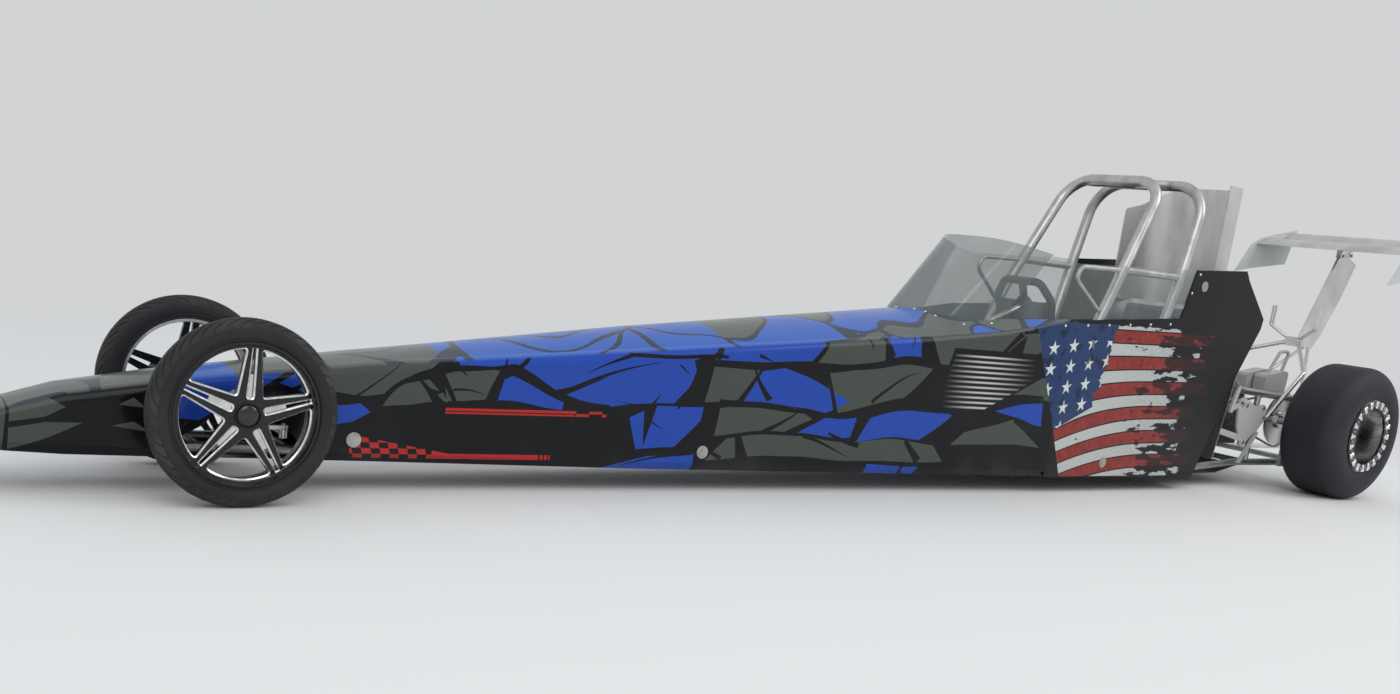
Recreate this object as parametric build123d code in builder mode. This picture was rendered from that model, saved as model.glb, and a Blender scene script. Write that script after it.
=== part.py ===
"""Half-scale dragster: long wedge body on a tube frame, open cockpit with a roll cage,
narrow steered wheels in front, a driven solid axle with slicks behind, and a wing on a pylon.

Millimetres, +Z up.  The nose points to -X and the driver's left is -Y.  The origin lies on the
ground, at mid-length and mid-width.  Lengthwise places are stations, measured back from the front
axle; those of the cockpit, the engine and the tail are set out from the rear axle by fore().
"""
from build123d import *
import os
from copy import copy
from math import asin, cos, hypot, radians, sin

os.makedirs("parts", exist_ok=True)

# Overall layout
WHEELBASE = 3810.0
NOSE_TIP = -550.0
WHEELIE_REACH = 750.0
WHEELIE_WHEEL_D = 76.0
TAIL_END = WHEELBASE + WHEELIE_REACH + WHEELIE_WHEEL_D / 2
MID_STATION = (NOSE_TIP + TAIL_END) / 2
LEFT, RIGHT = -1, 1
SIDES = (("left", LEFT), ("right", RIGHT))
CLEAR = 0.5
PIN_CLEAR = 0.05


def x(station):
    """X coordinate of a station measured back from the front axle."""
    return station - MID_STATION


def fore(distance):
    """Station of a place that lies so far ahead of the rear axle, negative behind it."""
    return WHEELBASE - distance


# Front wheels
FRONT_TYRE_D = 375.0
FRONT_TYRE_W = 60.0
FRONT_TRACK = 424.0
FRONT_SHOULDER_IN = 6.0
FRONT_SHOULDER_DROP = 10.0
FRONT_BULGE_RISE = 22.0
FRONT_RIM_R = 139.0
FRONT_RIM_W = 54.0
FRONT_WINDOW_R = 131.0
SPOKE_COUNT = 5
SPOKE_TURN = 85.0
SPOKE_START_R = 20.0
SPOKE_ROOT_W = 47.0
SPOKE_TIP_W = 23.0
SPOKE_THICK = 16.0
SPOKE_SETBACK = 10.0
SLOT_INNER = 52.0
SLOT_OUTER = 123.0
SLOT_ROOT_W = 14.0
SLOT_TIP_W = 9.0
FRONT_HUB_R = 34.0
FRONT_CAP_R = 24.0
CAP_COVER = 6.0

# Front axle and steering
FRONT_AXLE_Z = FRONT_TYRE_D / 2
AXLE_TUBE_R = 16.0
KINGPIN_Y = 152.0
KINGPIN_R = 8.0
KINGPIN_HEAD = 4.0
EYE_R = 13.0
AXLE_EYE_H = 34.0
EAR_GAP = 1.0
KNUCKLE_H = 64.0
UPRIGHT_GAP = 17.0
UPRIGHT_T = 8.0
HUB_GAP = 4.0
HUB_IN = KINGPIN_Y + UPRIGHT_GAP + UPRIGHT_T + HUB_GAP
SPINDLE_R = 8.5
SPINDLE_LENGTH = 57.0
SPINDLE_END = HUB_IN + SPINDLE_LENGTH
ARM_LENGTH = 100.0
ARM_THICK = 8.0
ARM_ROOT_W = 24.0
ARM_TIP_W = 20.0
TIE_ROD_R = 6.0
TIE_EYE_R = 9.0
TIE_PIN_R = 4.0
TIE_PIN_HEAD = 3.0
TIE_Z = FRONT_AXLE_Z - KNUCKLE_H / 2 - ARM_THICK - EAR_GAP - TIE_EYE_R

# Rear wheels and axle
REAR_TYRE_D = 462.0
REAR_TYRE_W = 216.0
REAR_TRACK = 716.0
SHOULDER_DROP = 16.0
SHOULDER_RUN = 36.0
SHOULDER_IN = 20.0
REAR_BULGE_RISE = 40.0
REAR_RIM_R = 126.0
REAR_RIM_W = 200.0
FLANGE_H = 26.0
BARREL_WALL = 6.0
BARREL_DROP = 18.0
BARREL_EDGE = 30.0
CENTRE_T = 14.0
CENTRE_OUT = -6.0
WHEEL_HUB_R = 30.0
WHEEL_HUB_OUT = 24.0
REAR_AXLE_Z = REAR_TYRE_D / 2
REAR_AXLE_R = 16.0
SPROCKET_Y = -128.0
SPROCKET_R = 92.0
SPROCKET_T = 6.0
DISC_Y = 120.0
DISC_R = 90.0
DISC_T = 6.0
FLANGE_R = 32.0
FLANGE_T = 24.0

# Body shell, as station, half width, bottom z, corner z, crown of the top, corner radius
SHELL = 4.0
LIP_IN = 12.0
LIP_UP = 20.0
MID_CORNER = 45.0
BODY_SECTIONS = (
    (NOSE_TIP, 38.0, 90.0, 112.0, 3.0, 8.0),
    (-480.0, 60.0, 86.0, 141.0, 4.0, 16.0),
    (-400.0, 73.0, 81.0, 169.0, 6.0, 22.0),
    (-300.0, 80.0, 76.0, 200.0, 6.0, 26.0),
    (-100.0, 91.0, 73.0, 234.0, 7.0, 28.0),
    (300.0, 112.0, 69.0, 285.0, 10.0, 28.0),
    (fore(2810.0), 151.0, 58.0, 354.0, 36.0, 28.0),
    (fore(1910.0), 207.0, 53.0, 446.0, 48.0, 24.0),
    (fore(1660.0), 225.0, 51.0, 476.0, 46.0, 20.0),
    (fore(1410.0), 242.0, 50.0, 520.0, 42.0, 6.0),
)
NOSE_ROWS = 3
SKIN_ROWS = BODY_SECTIONS[NOSE_ROWS - 1:]
COCKPIT_ROW = BODY_SECTIONS[-1]
EAR_HALF = COCKPIT_ROW[1]
# Rear edge of a side panel from the foot up over the ear and down to the sill, as station and z
EAR_EDGE = (
    (fore(654.0), 43.0),
    (fore(508.0), 401.0),
    (fore(428.0), 550.0),
    (fore(423.0), 584.0),
    (fore(548.0), 700.0),
    (fore(573.0), 731.0),
    (fore(844.0), 712.0),
    (fore(880.0), 559.0),
)
PAN_THICK = 2.5
PAN_END = (fore(640.0), 42.0)
AXLE_HOLE_R = 24.0
TIE_HOLE_R = 20.0
# Notch in a side panel round the front axle, as station and z
NOTCH = ((-122.0, 30.0), (-86.0, 118.0), (-38.0, 146.0), (-AXLE_HOLE_R, FRONT_AXLE_Z),
         (AXLE_HOLE_R, FRONT_AXLE_Z), (70.0, 162.0), (110.0, 150.0), (158.0, 106.0), (178.0, 30.0))

# Windscreen, cockpit rim and side glass
GLASS = 3.0
GLASS_GAP = 2.0
SCREEN_BASE_FRONT = fore(1825.0)
SCREEN_BASE_REAR = fore(1620.0)
SCREEN_BASE_Z = 497.0
SCREEN_SKIRT = 30.0
SCREEN_BASE_HALF = 161.0
SCREEN_BASE_FLARE = 22.0
SCREEN_BASE_BEND = 70.0
SCREEN_TOP_FRONT = fore(1635.0)
SCREEN_TOP_REAR = fore(1482.0)
SCREEN_TOP_Z = 728.0
SCREEN_TOP_REAR_Z = 701.0
SCREEN_TOP_HALF = 192.0
SCREEN_TOP_FLARE = 59.0
SCREEN_TOP_BEND = 130.0
RIM_RUN = 20.0
RIM_BEND = 200.0
OPENING_DEPTH = 200.0
# Sections of the side glass behind the windscreen, as station, foot z, top z and lean of the top
GLASS_ROWS = (
    (fore(1380.0), 524.0, 685.0, 27.0),
    (fore(850.0), 560.0, 711.0, 0.0),
)

# Tube frame
RAIL_R = 12.0
RAIL_GAP = 14.0
RAIL_INSET = SHELL + RAIL_R + RAIL_GAP
RAIL_LIFT = PAN_THICK + RAIL_R + 2.0
RAIL_BEND = 150.0
RAIL_NOSE = -350.0
REAR_RAIL_Y = 178.0
REAR_RAIL_START = fore(330.0)
FRAME_REAR = fore(-140.0)
LOWER_RAIL_Z = 84.0
UPPER_RAIL_START = fore(1760.0)
UPPER_RAIL_DROP = 20.0
UPPER_RAIL_Z = 392.0
UPPER_RAIL_WAIST_Z = 338.0
UPPER_RAIL_REAR_Z = 304.0
UPPER_RAIL_BENDS = (fore(1410.0), fore(510.0), fore(380.0))
RAIL_SLICE = (1.0, 800.0, 800.0)
CROSS_R = 10.0
SEAT_UPRIGHT = fore(720.0)
TAIL_UPRIGHT = fore(-125.0)
UPRIGHTS = (fore(1510.0), SEAT_UPRIGHT, fore(250.0), TAIL_UPRIGHT)
LOW_CROSS = (-310.0, -45.0, 150.0, fore(2510.0)) + UPRIGHTS
HIGH_CROSS = (fore(1740.0), fore(470.0), TAIL_UPRIGHT)

# Roll cage, its hoops as station, half width and height of the foot, the knee and the top corner
CAGE_R = 16.5
HOOP_KNEE_BEND = 200.0
FRONT_HOOP = ((fore(1306.0), 207.0, UPPER_RAIL_Z), (fore(1205.0), 206.0, 595.0), (fore(1002.0), 174.0, 962.0))
FRONT_HOOP_BEND = 95.0
MAIN_HOOP = ((fore(965.0), 208.0, UPPER_RAIL_Z), (fore(885.0), 214.0, 690.0), (fore(820.0), 208.0, 968.0))
MAIN_HOOP_BEND = 110.0
TOP_BAR_R = 14.0
TOP_BAR_FRONT_Y = 104.0
TOP_BAR_REAR_Y = 62.0
SIDE_RAIL_R = 11.0
SIDE_RAIL_Z = 683.0
SIDE_RAIL_FRONT = fore(1156.0)
SIDE_RAIL_Y = (199.0, 213.0)
FORE_RAIL_R = 7.0
FORE_RAIL_BENDS = (26.0, 20.0)
# Bar that loops forward of the front hoop, as station, half width and z
FORE_RAIL = ((SIDE_RAIL_FRONT, SIDE_RAIL_Y[0], SIDE_RAIL_Z), (fore(1345.0), 194.0, 678.0),
             (fore(1362.0), 195.0, 640.0), (fore(1250.0), 205.0, 556.0))

# Head surround, seat and firewall
SURROUND_FRONT = fore(680.0)
SURROUND_DEPTH = 170.0
SURROUND_HALF = 190.0
SURROUND_TAPER = 20.0
SURROUND_FOOT = 520.0
SURROUND_TOP = 990.0
SURROUND_BEND = 130.0
SEAT_HALF = 160.0
SEAT_THICK = 5.0
SEAT_HIP = fore(810.0)
SEAT_LENGTH = 360.0
SEAT_LEAN = 215.0
SEAT_HEAD = SEAT_HIP + SEAT_LEAN
SEAT_FRONT = SEAT_HIP - SEAT_LENGTH
SEAT_Z = 112.0
SEAT_RISE = 20.0
SEAT_TOP = 600.0
SEAT_BEND = 90.0
WING_DEPTH = 90.0
WING_RISE = 70.0
PAD_THICK = 28.0
PAD_GAP = 0.4
PAD_SIDE = 2.0
FIREWALL_BACK = 113.0
FIREWALL_SLOPE = 66.0
FIREWALL_LOW = 104.0
FIREWALL_HIGH = 540.0
FIREWALL_T = 2.5

# Dash panel, steering column and wheel
DASH_AHEAD = 270.0
DASH_LOW = 392.0
DASH_HIGH = 470.0
DASH_INSET = 34.0
DASH_T = 3.0
DASH_SHOULDER = 17.0
DASH_SHARES = (0.92, 0.6)
COLUMN_R = 9.5
COLUMN_TILT = 22.0
COLUMN_LENGTH = 395.0
WHEEL_STATION = fore(1340.0)
WHEEL_Z = 545.0
# Right half of the steering wheel's grip, as y and height on the column, from the top down
STEER_GRIP = ((94.0, 72.0), (108.0, -20.0), (68.0, -78.0))
STEER_BEND = 34.0
STEER_GRIP_R = 12.0
STEER_SPOKE_W = 26.0
STEER_SPOKE_T = 6.0
STEER_HUB_R = 24.0
STEER_HUB_T = 14.0
STEER_BOSS_R = 32.0

# Engine bay
BEARING_T = 12.0
# Outline of a bearing plate, as distance behind the rear axle and z
BEARING_OUTLINE = ((-65.0, 72.0), (65.0, 72.0), (58.0, 180.0), (58.0, 290.0), (40.0, 322.0), (-50.0, 334.0),
                   (-58.0, 290.0), (-58.0, 180.0))
CALIPER_W = 46.0
CALIPER_H = 84.0
CALIPER_T = 48.0
CALIPER_UP = 20.0
CALIPER_BITE = 10.0
PAD_SPACE = 5.0
ENGINE_AHEAD = 290.0
ENGINE_SIZE = (200.0, 230.0, 190.0)
ENGINE_Y = 25.0
ENGINE_Z = 230.0
CLUTCH_AHEAD = 290.0
CLUTCH_Z = 252.0
CLUTCH_R = 48.0
CLUTCH_T = 26.0
PINION_R = 34.0
CHAIN_W = 8.0
CHAIN_T = 9.0
CHAIN_GAP = 1.0
SPROCKET_ROOM = 14.0
# Shelf behind the engine and the two sheet boxes on it, outlines as distance ahead of the rear axle and z
SHELF_T = 4.0
SHELF_Z = ENGINE_Z + ENGINE_SIZE[2] / 2
SHELF_AHEAD = (250.0, -28.0)
SHELF_Y = (-112.0, -14.0)
BOX_Z = SHELF_Z + SHELF_T
COVER_Y = (-60.0, SHELF_Y[1])
TANK_Y = (SHELF_Y[0], -66.0)
COVER_OUTLINE = ((150.0, BOX_Z), (18.0, BOX_Z), (14.0, 398.0), (30.0, 406.0), (142.0, 388.0), (150.0, 378.0))
TANK_OUTLINE = ((114.0, BOX_Z), (-24.0, BOX_Z), (-28.0, 396.0), (-14.0, 406.0), (106.0, 390.0), (114.0, 380.0))
# Carrying handle on the tank, as distance ahead of the rear axle and z
HANDLE = ((75.0, 388.0), (17.0, 473.0), (-42.0, 478.0), (-14.0, 398.0))
HANDLE_R = 6.0
HANDLE_BEND = 12.0
PLATE_T = 8.0
PLATE_CORNER = 8.0
JACK_BORE_R = 10.0
JACK_AHEAD = 363.0
JACK_Z = 288.0
# Outline of the jackshaft plate, as distance ahead of the rear axle and z
PLATE_OUTLINE = ((389.0, 288.0), (383.0, 306.0), (363.0, 314.0), (343.0, 307.0), (331.0, 297.0), (272.0, 284.0),
                 (231.0, 292.0), (212.0, 276.0), (211.0, 241.0), (246.0, 201.0), (286.0, 176.0), (316.0, 141.0),
                 (337.0, 147.0), (372.0, 210.0))
# Straps that carry the plate: the hanger from the upper rail, its link and the leg from the lower rail
PLATE_STRAPS = (((436.0, 262.0), (420.0, 258.0), (392.0, 352.0), (412.0, 352.0)),
                ((428.0, 262.0), (376.0, 282.0), (376.0, 298.0), (420.0, 280.0)),
                ((326.0, LOWER_RAIL_Z), (310.0, LOWER_RAIL_Z), (233.0, 190.0), (245.0, 198.0)))
# Flat bar on the plate's outer face
SIDE_BAR = ((520.0, 214.0), (520.0, 194.0), (335.0, 160.0), (335.0, 182.0))
SIDE_BAR_T = 6.0
# Tray under the engine, as station and z of its upper face
TRAY_T = 2.5
TRAY_HALF = 160.0
TRAY = ((PAN_END[0] + CLEAR, PAN_END[1]), (fore(390.0), 44.0), (fore(260.0), 72.0))

# Wing
WING_HALF_SPAN = 300.0
WING_AHEAD = -316.0
WING_Z = 866.0
WING_CHORD = 190.0
WING_THICK = 26.0
WING_TILT = 6.0
FLAP_CHORD = 90.0
FLAP_THICK = 12.0
FLAP_TILT = 20.0
FLAP_GAP = (-12.0, 32.0)
TRAIL_T = 2.0
CROWN_SHARE = 0.38
BACK_SHARE = 0.75
END_PLATE_T = 3.0
# Outline of an end plate and of the pylon, as distance behind the rear axle and z
END_PLATE = ((204.0, 749.0), (286.0, 862.0), (340.0, 888.0), (402.0, 905.0), (589.0, 944.0), (543.0, 804.0),
             (420.0, 786.0), (300.0, 768.0))
PYLON_T = 10.0
PYLON = ((222.0, 502.0), (395.0, 850.0), (404.0, 892.0), (436.0, 892.0), (444.0, 852.0), (519.0, 823.0),
         (456.0, 682.0), (376.0, 545.0), (326.0, 486.0))
STAND_BLOCK = (44.0, 52.0, 34.0)
STAND_TOP = (fore(-212.0), 512.0)
# Strut from the jackshaft plate up beside the tyre and in to the pylon's foot, as station, |y| and z
STRUT_R = 8.0
STRUT_Y = REAR_RAIL_Y + RAIL_R + PLATE_T + STRUT_R
STRUT_FOOT = {LEFT: (fore(222.0), STRUT_Y, 245.0), RIGHT: (fore(170.0), REAR_RAIL_Y + RAIL_R + STRUT_R, 300.0)}
STRUT_KNEE = (fore(42.0), STRUT_Y, 413.0)
STRUT_BEND = 24.0
STRUT_HALF = 16.0
# Stay from the frame's last cross tube up to the back of the pylon's foot
STAY_R = 7.0
STAY_FOOT_Y = 120.0
STAY_TOP = (fore(-300.0), 10.0, 492.0)
# Fork above the pylon's foot: pairs of thin bars, as station, |y| and z
FORK = ((STAND_TOP[0], 8.0, STAND_TOP[1]), (fore(-182.0), 87.0, 565.0), (fore(-182.0), 87.0, 637.0))
FORK_R = 4.0
FORK_BEND = 12.0
FORK_SPREAD = (-9.0, 9.0)

# Wheelie bar
WHEELIE_STATION = fore(-WHEELIE_REACH)
WHEELIE_Z = 92.0
WHEELIE_Y = 80.0
WHEELIE_ROOT_Y = 150.0
WHEELIE_TUBE_R = 9.0
WHEELIE_STAY_R = 7.0
WHEELIE_STAY_END = (fore(-570.0), 100.0)
WHEELIE_WHEEL_W = 52.0
WHEELIE_PIN_R = 5.0
WHEELIE_PIN_OVER = 4.0


def section_plane(station):
    """Plane across the car at a station: local x is +Y and local y is +Z."""
    return Plane(origin=(x(station), 0, 0), x_dir=(0, 1, 0), z_dir=(1, 0, 0))


def side_plane(y):
    """Plane along the car at y: local x is +X and local y is +Z, its normal is -Y."""
    return Plane(origin=(0, y, 0), x_dir=(1, 0, 0), z_dir=(0, -1, 0))


def wheel_plane(station, y, z):
    """Radial half-plane of a wheel: local x is the radius, upwards, and local y is -Y."""
    return Plane(origin=(x(station), y, z), x_dir=(0, 0, 1), z_dir=(1, 0, 0))


def tube(points, radius, bends=None):
    """Round bar along straight runs joined by arcs, points as (station, y, z)."""
    path_points = [(x(s), y, z) for s, y, z in points]
    with BuildPart() as bar:
        with BuildLine() as path:
            if bends is None:
                Polyline(*path_points)
            else:
                FilletPolyline(*path_points, radius=bends)
        with BuildSketch(Plane(origin=path.line @ 0, z_dir=path.line % 0)):
            Circle(radius)
        sweep(path=path.line, transition=Transition.ROUND if bends is None else Transition.TRANSFORMED)
    return bar.part


def coped(points, radius, cutters, bends=None):
    """Tube cut to the outlines of the tubes that it meets."""
    with BuildPart() as bar:
        add(tube(points, radius, bends))
        for cutter in cutters:
            add(cutter, mode=Mode.SUBTRACT)
    return max(bar.part.solids(), key=lambda solid: solid.volume)


def body_row(station):
    """Half width, bottom, corner height, crown and corner radius of the body at a station."""
    for before, after in zip(BODY_SECTIONS, BODY_SECTIONS[1:]):
        if before[0] <= station <= after[0]:
            share = (station - before[0]) / (after[0] - before[0])
            return tuple(a + (b - a) * share for a, b in zip(before[1:], after[1:]))
    return COCKPIT_ROW[1:]


def save(piece, name):
    """Label the piece and write its STEP file."""
    piece.label = name
    export_step(piece, f"parts/{name}.step")


def side_section(row, side):
    """Closed strip of the body's side: lip, flat flank and rounded top corner."""
    station, half, bottom, corner, crown, radius = row
    lean = SHELL * LIP_IN / hypot(LIP_IN, LIP_UP)
    turn = radians(MID_CORNER)
    inner = radius - SHELL
    with BuildSketch(section_plane(station)) as sketch:
        with BuildLine():
            outer_foot = (side * (half - LIP_IN), bottom)
            outer_knee = (side * half, bottom + LIP_UP)
            outer_shoulder = (side * half, corner - radius)
            outer_mid = (side * (half - radius + radius * cos(turn)), corner - radius + radius * sin(turn))
            outer_top = (side * (half - radius), corner)
            inner_top = (side * (half - radius), corner - SHELL)
            inner_mid = (side * (half - radius + inner * cos(turn)), corner - radius + inner * sin(turn))
            inner_shoulder = (side * (half - SHELL), corner - radius)
            inner_knee = (side * (half - SHELL), bottom + LIP_UP + lean / 2)
            inner_foot = (side * (half - LIP_IN - SHELL), bottom)
            Line(outer_foot, outer_knee)
            Line(outer_knee, outer_shoulder)
            ThreePointArc(outer_shoulder, outer_mid, outer_top)
            Line(outer_top, inner_top)
            ThreePointArc(inner_top, inner_mid, inner_shoulder)
            Line(inner_shoulder, inner_knee)
            Line(inner_knee, inner_foot)
            Line(inner_foot, outer_foot)
        make_face()
    return sketch.sketch


def top_section(row):
    """Closed strip of the body's top, crowned between the two rounded corners."""
    station, half, bottom, corner, crown, radius = row
    edge = half - radius - CLEAR / 2
    with BuildSketch(section_plane(station)) as sketch:
        with BuildLine():
            ThreePointArc((-edge, corner), (0, corner + crown), (edge, corner))
            Line((edge, corner), (edge, corner - SHELL))
            ThreePointArc((edge, corner - SHELL), (0, corner + crown - SHELL), (-edge, corner - SHELL))
            Line((-edge, corner - SHELL), (-edge, corner))
        make_face()
    return sketch.sketch


def nose_section(row):
    """Closed outline of the nose, with its rounded shoulders and crowned top."""
    station, half, bottom, corner, crown, radius = row
    turn = radians(MID_CORNER)
    shoulder = corner - radius
    knee_z = bottom + min(LIP_UP, (shoulder - bottom) / 2)
    with BuildSketch(section_plane(station)) as sketch:
        with BuildLine():
            Line((-(half - LIP_IN), bottom), (half - LIP_IN, bottom))
            for side in (RIGHT, LEFT):
                Line((side * (half - LIP_IN), bottom), (side * half, knee_z))
                Line((side * half, knee_z), (side * half, shoulder))
                mid = (side * (half - radius + radius * cos(turn)), shoulder + radius * sin(turn))
                ThreePointArc((side * half, shoulder), mid, (side * (half - radius), corner))
            ThreePointArc((-(half - radius), corner), (0, corner + crown), (half - radius, corner))
        make_face()
    return sketch.sketch


# Nose cap: closed block of the first sections
with BuildPart() as nose_cap:
    for nose_row in BODY_SECTIONS[:NOSE_ROWS]:
        add(nose_section(nose_row))
    loft(ruled=True)
save(nose_cap.part, "nose_cap")

# Top panel, cut out around the cockpit
RIM_END = COCKPIT_ROW[0] + RIM_RUN
RIM_END_HALF = EAR_HALF - COCKPIT_ROW[-1]
SCREEN_CORNER = SCREEN_BASE_HALF - SCREEN_BASE_FLARE
with BuildPart() as body_top:
    for skin_row in SKIN_ROWS:
        add(top_section(skin_row))
    loft(ruled=True)
    with BuildSketch(Plane.XY.offset(SCREEN_BASE_Z - OPENING_DEPTH)):
        with BuildLine():
            FilletPolyline((x(RIM_END), -RIM_END_HALF), (x(SCREEN_BASE_REAR), -SCREEN_BASE_HALF),
                           (x(SCREEN_BASE_FRONT), -SCREEN_CORNER), (x(SCREEN_BASE_FRONT), SCREEN_CORNER),
                           (x(SCREEN_BASE_REAR), SCREEN_BASE_HALF), (x(RIM_END), RIM_END_HALF),
                           radius=[RIM_BEND, SCREEN_BASE_BEND, SCREEN_BASE_BEND, RIM_BEND])
            Line((x(RIM_END), RIM_END_HALF), (x(RIM_END), -RIM_END_HALF))
        make_face()
    extrude(amount=2 * OPENING_DEPTH, mode=Mode.SUBTRACT)
save(body_top.part, "body_top")

# Side panels with the tall rear ears
for side_name, side in SIDES:
    station, half, bottom, corner, crown, radius = COCKPIT_ROW
    with BuildPart() as side_panel:
        for skin_row in SKIN_ROWS:
            add(side_section(skin_row, side))
        loft(ruled=True)
        with BuildSketch(side_plane(side * (half - SHELL))):
            with BuildLine():
                ear_points = [(x(s), z) for s, z in EAR_EDGE]
                Polyline((x(station), bottom), *ear_points, (x(station), corner), close=True)
            make_face()
        extrude(amount=-side * SHELL)
        with BuildSketch(side_plane(0)):
            with BuildLine():
                Polyline(*[(x(s), z) for s, z in NOTCH], close=True)
            make_face()
            with Locations((x(0), FRONT_AXLE_Z)):
                Circle(AXLE_HOLE_R)
            with Locations((x(ARM_LENGTH), TIE_Z)):
                Circle(TIE_HOLE_R)
        extrude(amount=-side * KINGPIN_Y, mode=Mode.SUBTRACT)
    save(side_panel.part, f"side_panel_{side_name}")

# Belly pan between the side panels
pan_rows = [(row[0], row[1], row[2]) for row in SKIN_ROWS] + [(PAN_END[0], EAR_HALF, PAN_END[1])]
with BuildPart() as belly_pan:
    for station, half, bottom in pan_rows:
        with BuildSketch(section_plane(station)):
            with Locations((0, bottom + PAN_THICK / 2)):
                Rectangle(2 * (half - LIP_IN - SHELL - CLEAR), PAN_THICK)
    loft(ruled=True)
save(belly_pan.part, "belly_pan")


def screen_band(plane, run, half, flare, bend):
    """U-shaped strip of the windscreen in a plane, open to the rear."""
    with BuildSketch(plane) as sketch:
        with BuildLine():
            FilletPolyline((run, -half), (0, -half + flare), (0, half - flare), (run, half), radius=bend)
        trace(line_width=GLASS)
    return sketch.sketch


# Tinted windscreen, wrapped round the front of the cockpit on an upright skirt
top_run = SCREEN_TOP_REAR - SCREEN_TOP_FRONT
top_fall = SCREEN_TOP_REAR_Z - SCREEN_TOP_Z
screen_top = Plane(origin=(x(SCREEN_TOP_FRONT), 0, SCREEN_TOP_Z), x_dir=(top_run, 0, top_fall),
                   z_dir=(-top_fall, 0, top_run))
with BuildPart() as windscreen:
    for base_z in (SCREEN_BASE_Z - SCREEN_SKIRT, SCREEN_BASE_Z):
        base_plane = Plane(origin=(x(SCREEN_BASE_FRONT + GLASS), 0, base_z))
        add(screen_band(base_plane, SCREEN_BASE_REAR - SCREEN_BASE_FRONT - GLASS, SCREEN_BASE_HALF - GLASS,
                        SCREEN_BASE_FLARE, SCREEN_BASE_BEND))
    add(screen_band(screen_top, hypot(top_fall, top_run), SCREEN_TOP_HALF, SCREEN_TOP_FLARE, SCREEN_TOP_BEND))
    loft(ruled=True)
save(windscreen.part, "windscreen")

# Clear side glass from the windscreen's rear edge, out to the sill and back to the ear
GLASS_SILL = EAR_HALF - SHELL - CLEAR
for side_name, side in SIDES:
    foot = Vector(x(SCREEN_BASE_REAR) + GLASS_GAP, side * (SCREEN_BASE_HALF - GLASS), SCREEN_BASE_Z)
    edge = Vector(SCREEN_TOP_REAR - SCREEN_BASE_REAR, side * (SCREEN_TOP_HALF - SCREEN_BASE_HALF + GLASS),
                  SCREEN_TOP_REAR_Z - SCREEN_BASE_Z)
    with BuildPart() as side_glass:
        with BuildSketch(Plane(origin=foot, x_dir=edge, z_dir=Vector(0, 1, 0).cross(edge))):
            with Locations((edge.length / 2, 0)):
                Rectangle(edge.length - 2 * GLASS_GAP, GLASS)
        for station, foot_z, top_z, lean in GLASS_ROWS:
            foot_y = side * GLASS_SILL
            top_y = side * (GLASS_SILL - lean)
            with BuildSketch(section_plane(station)):
                with BuildLine():
                    Polyline((foot_y, foot_z), (top_y, top_z), (top_y - side * GLASS, top_z),
                             (foot_y - side * GLASS, foot_z), close=True)
                make_face()
        loft(ruled=True)
    save(side_glass.part, f"side_glass_{side_name}")

# Tube frame: two lower and two upper rails
LEVEL, WAIST, TAIL = UPPER_RAIL_BENDS
LOWER_RAIL_BENDS = [row[0] for row in BODY_SECTIONS if row[0] > 0]
low_pair = []
high_pair = []
for side_name, side in SIDES:
    low = []
    for station in [RAIL_NOSE] + LOWER_RAIL_BENDS + [SEAT_UPRIGHT]:
        half, bottom = body_row(station)[:2]
        low.append((station, side * (half - RAIL_INSET), bottom + RAIL_LIFT))
    rear_y = side * REAR_RAIL_Y
    low += [(REAR_RAIL_START, rear_y, LOWER_RAIL_Z), (FRAME_REAR, rear_y, LOWER_RAIL_Z)]
    low_pair.append(tube(low, RAIL_R, RAIL_BEND))
    inset_y = side * (EAR_HALF - RAIL_INSET)
    start_y = side * (body_row(UPPER_RAIL_START)[0] - RAIL_INSET)
    high = [(UPPER_RAIL_START, start_y, UPPER_RAIL_Z - UPPER_RAIL_DROP), (LEVEL, inset_y, UPPER_RAIL_Z),
            (WAIST, inset_y, UPPER_RAIL_Z), (TAIL, rear_y, UPPER_RAIL_WAIST_Z),
            (FRAME_REAR, rear_y, UPPER_RAIL_REAR_Z)]
    high_pair.append(tube(high, RAIL_R, RAIL_BEND))
for rails_name, pair in (("lower_rails", low_pair), ("upper_rails", high_pair)):
    save(Compound(children=[copy(rail) for rail in pair]), rails_name)


def rail_point(pair, station):
    """Y and Z of the right rail's centre at a station, read off the rail's own slice."""
    slice_box = (pair[-1] & Box(*RAIL_SLICE).moved(Location((x(station), 0, 0)))).bounding_box()
    return slice_box.center().Y, slice_box.center().Z


# Cross tubes between the rails and uprights from the lower to the upper ones
crossbars = []
for stations, pair in ((LOW_CROSS, low_pair), (HIGH_CROSS, high_pair)):
    for station in stations:
        y, z = rail_point(pair, station)
        crossbars.append(coped([(station, -y, z), (station, y, z)], CROSS_R, pair))
for station in UPRIGHTS:
    low_y, low_z = rail_point(low_pair, station)
    high_y, high_z = rail_point(high_pair, station)
    for side_name, side in SIDES:
        upright = [(station, side * low_y, low_z), (station, side * high_y, high_z)]
        crossbars.append(coped(upright, CROSS_R, low_pair + high_pair))
save(Compound(children=crossbars), "frame_crossbars")


def hoop(half_row, corner_bend):
    """Hoop from its left foot over the top to its right foot, cut to the upper rails."""
    left = [(s, -y, z) for s, y, z in half_row]
    right = [(s, -y, z) for s, y, z in reversed(left)]
    bends = [HOOP_KNEE_BEND, corner_bend, corner_bend, HOOP_KNEE_BEND]
    return coped(left + right, CAGE_R, high_pair, bends)


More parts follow.
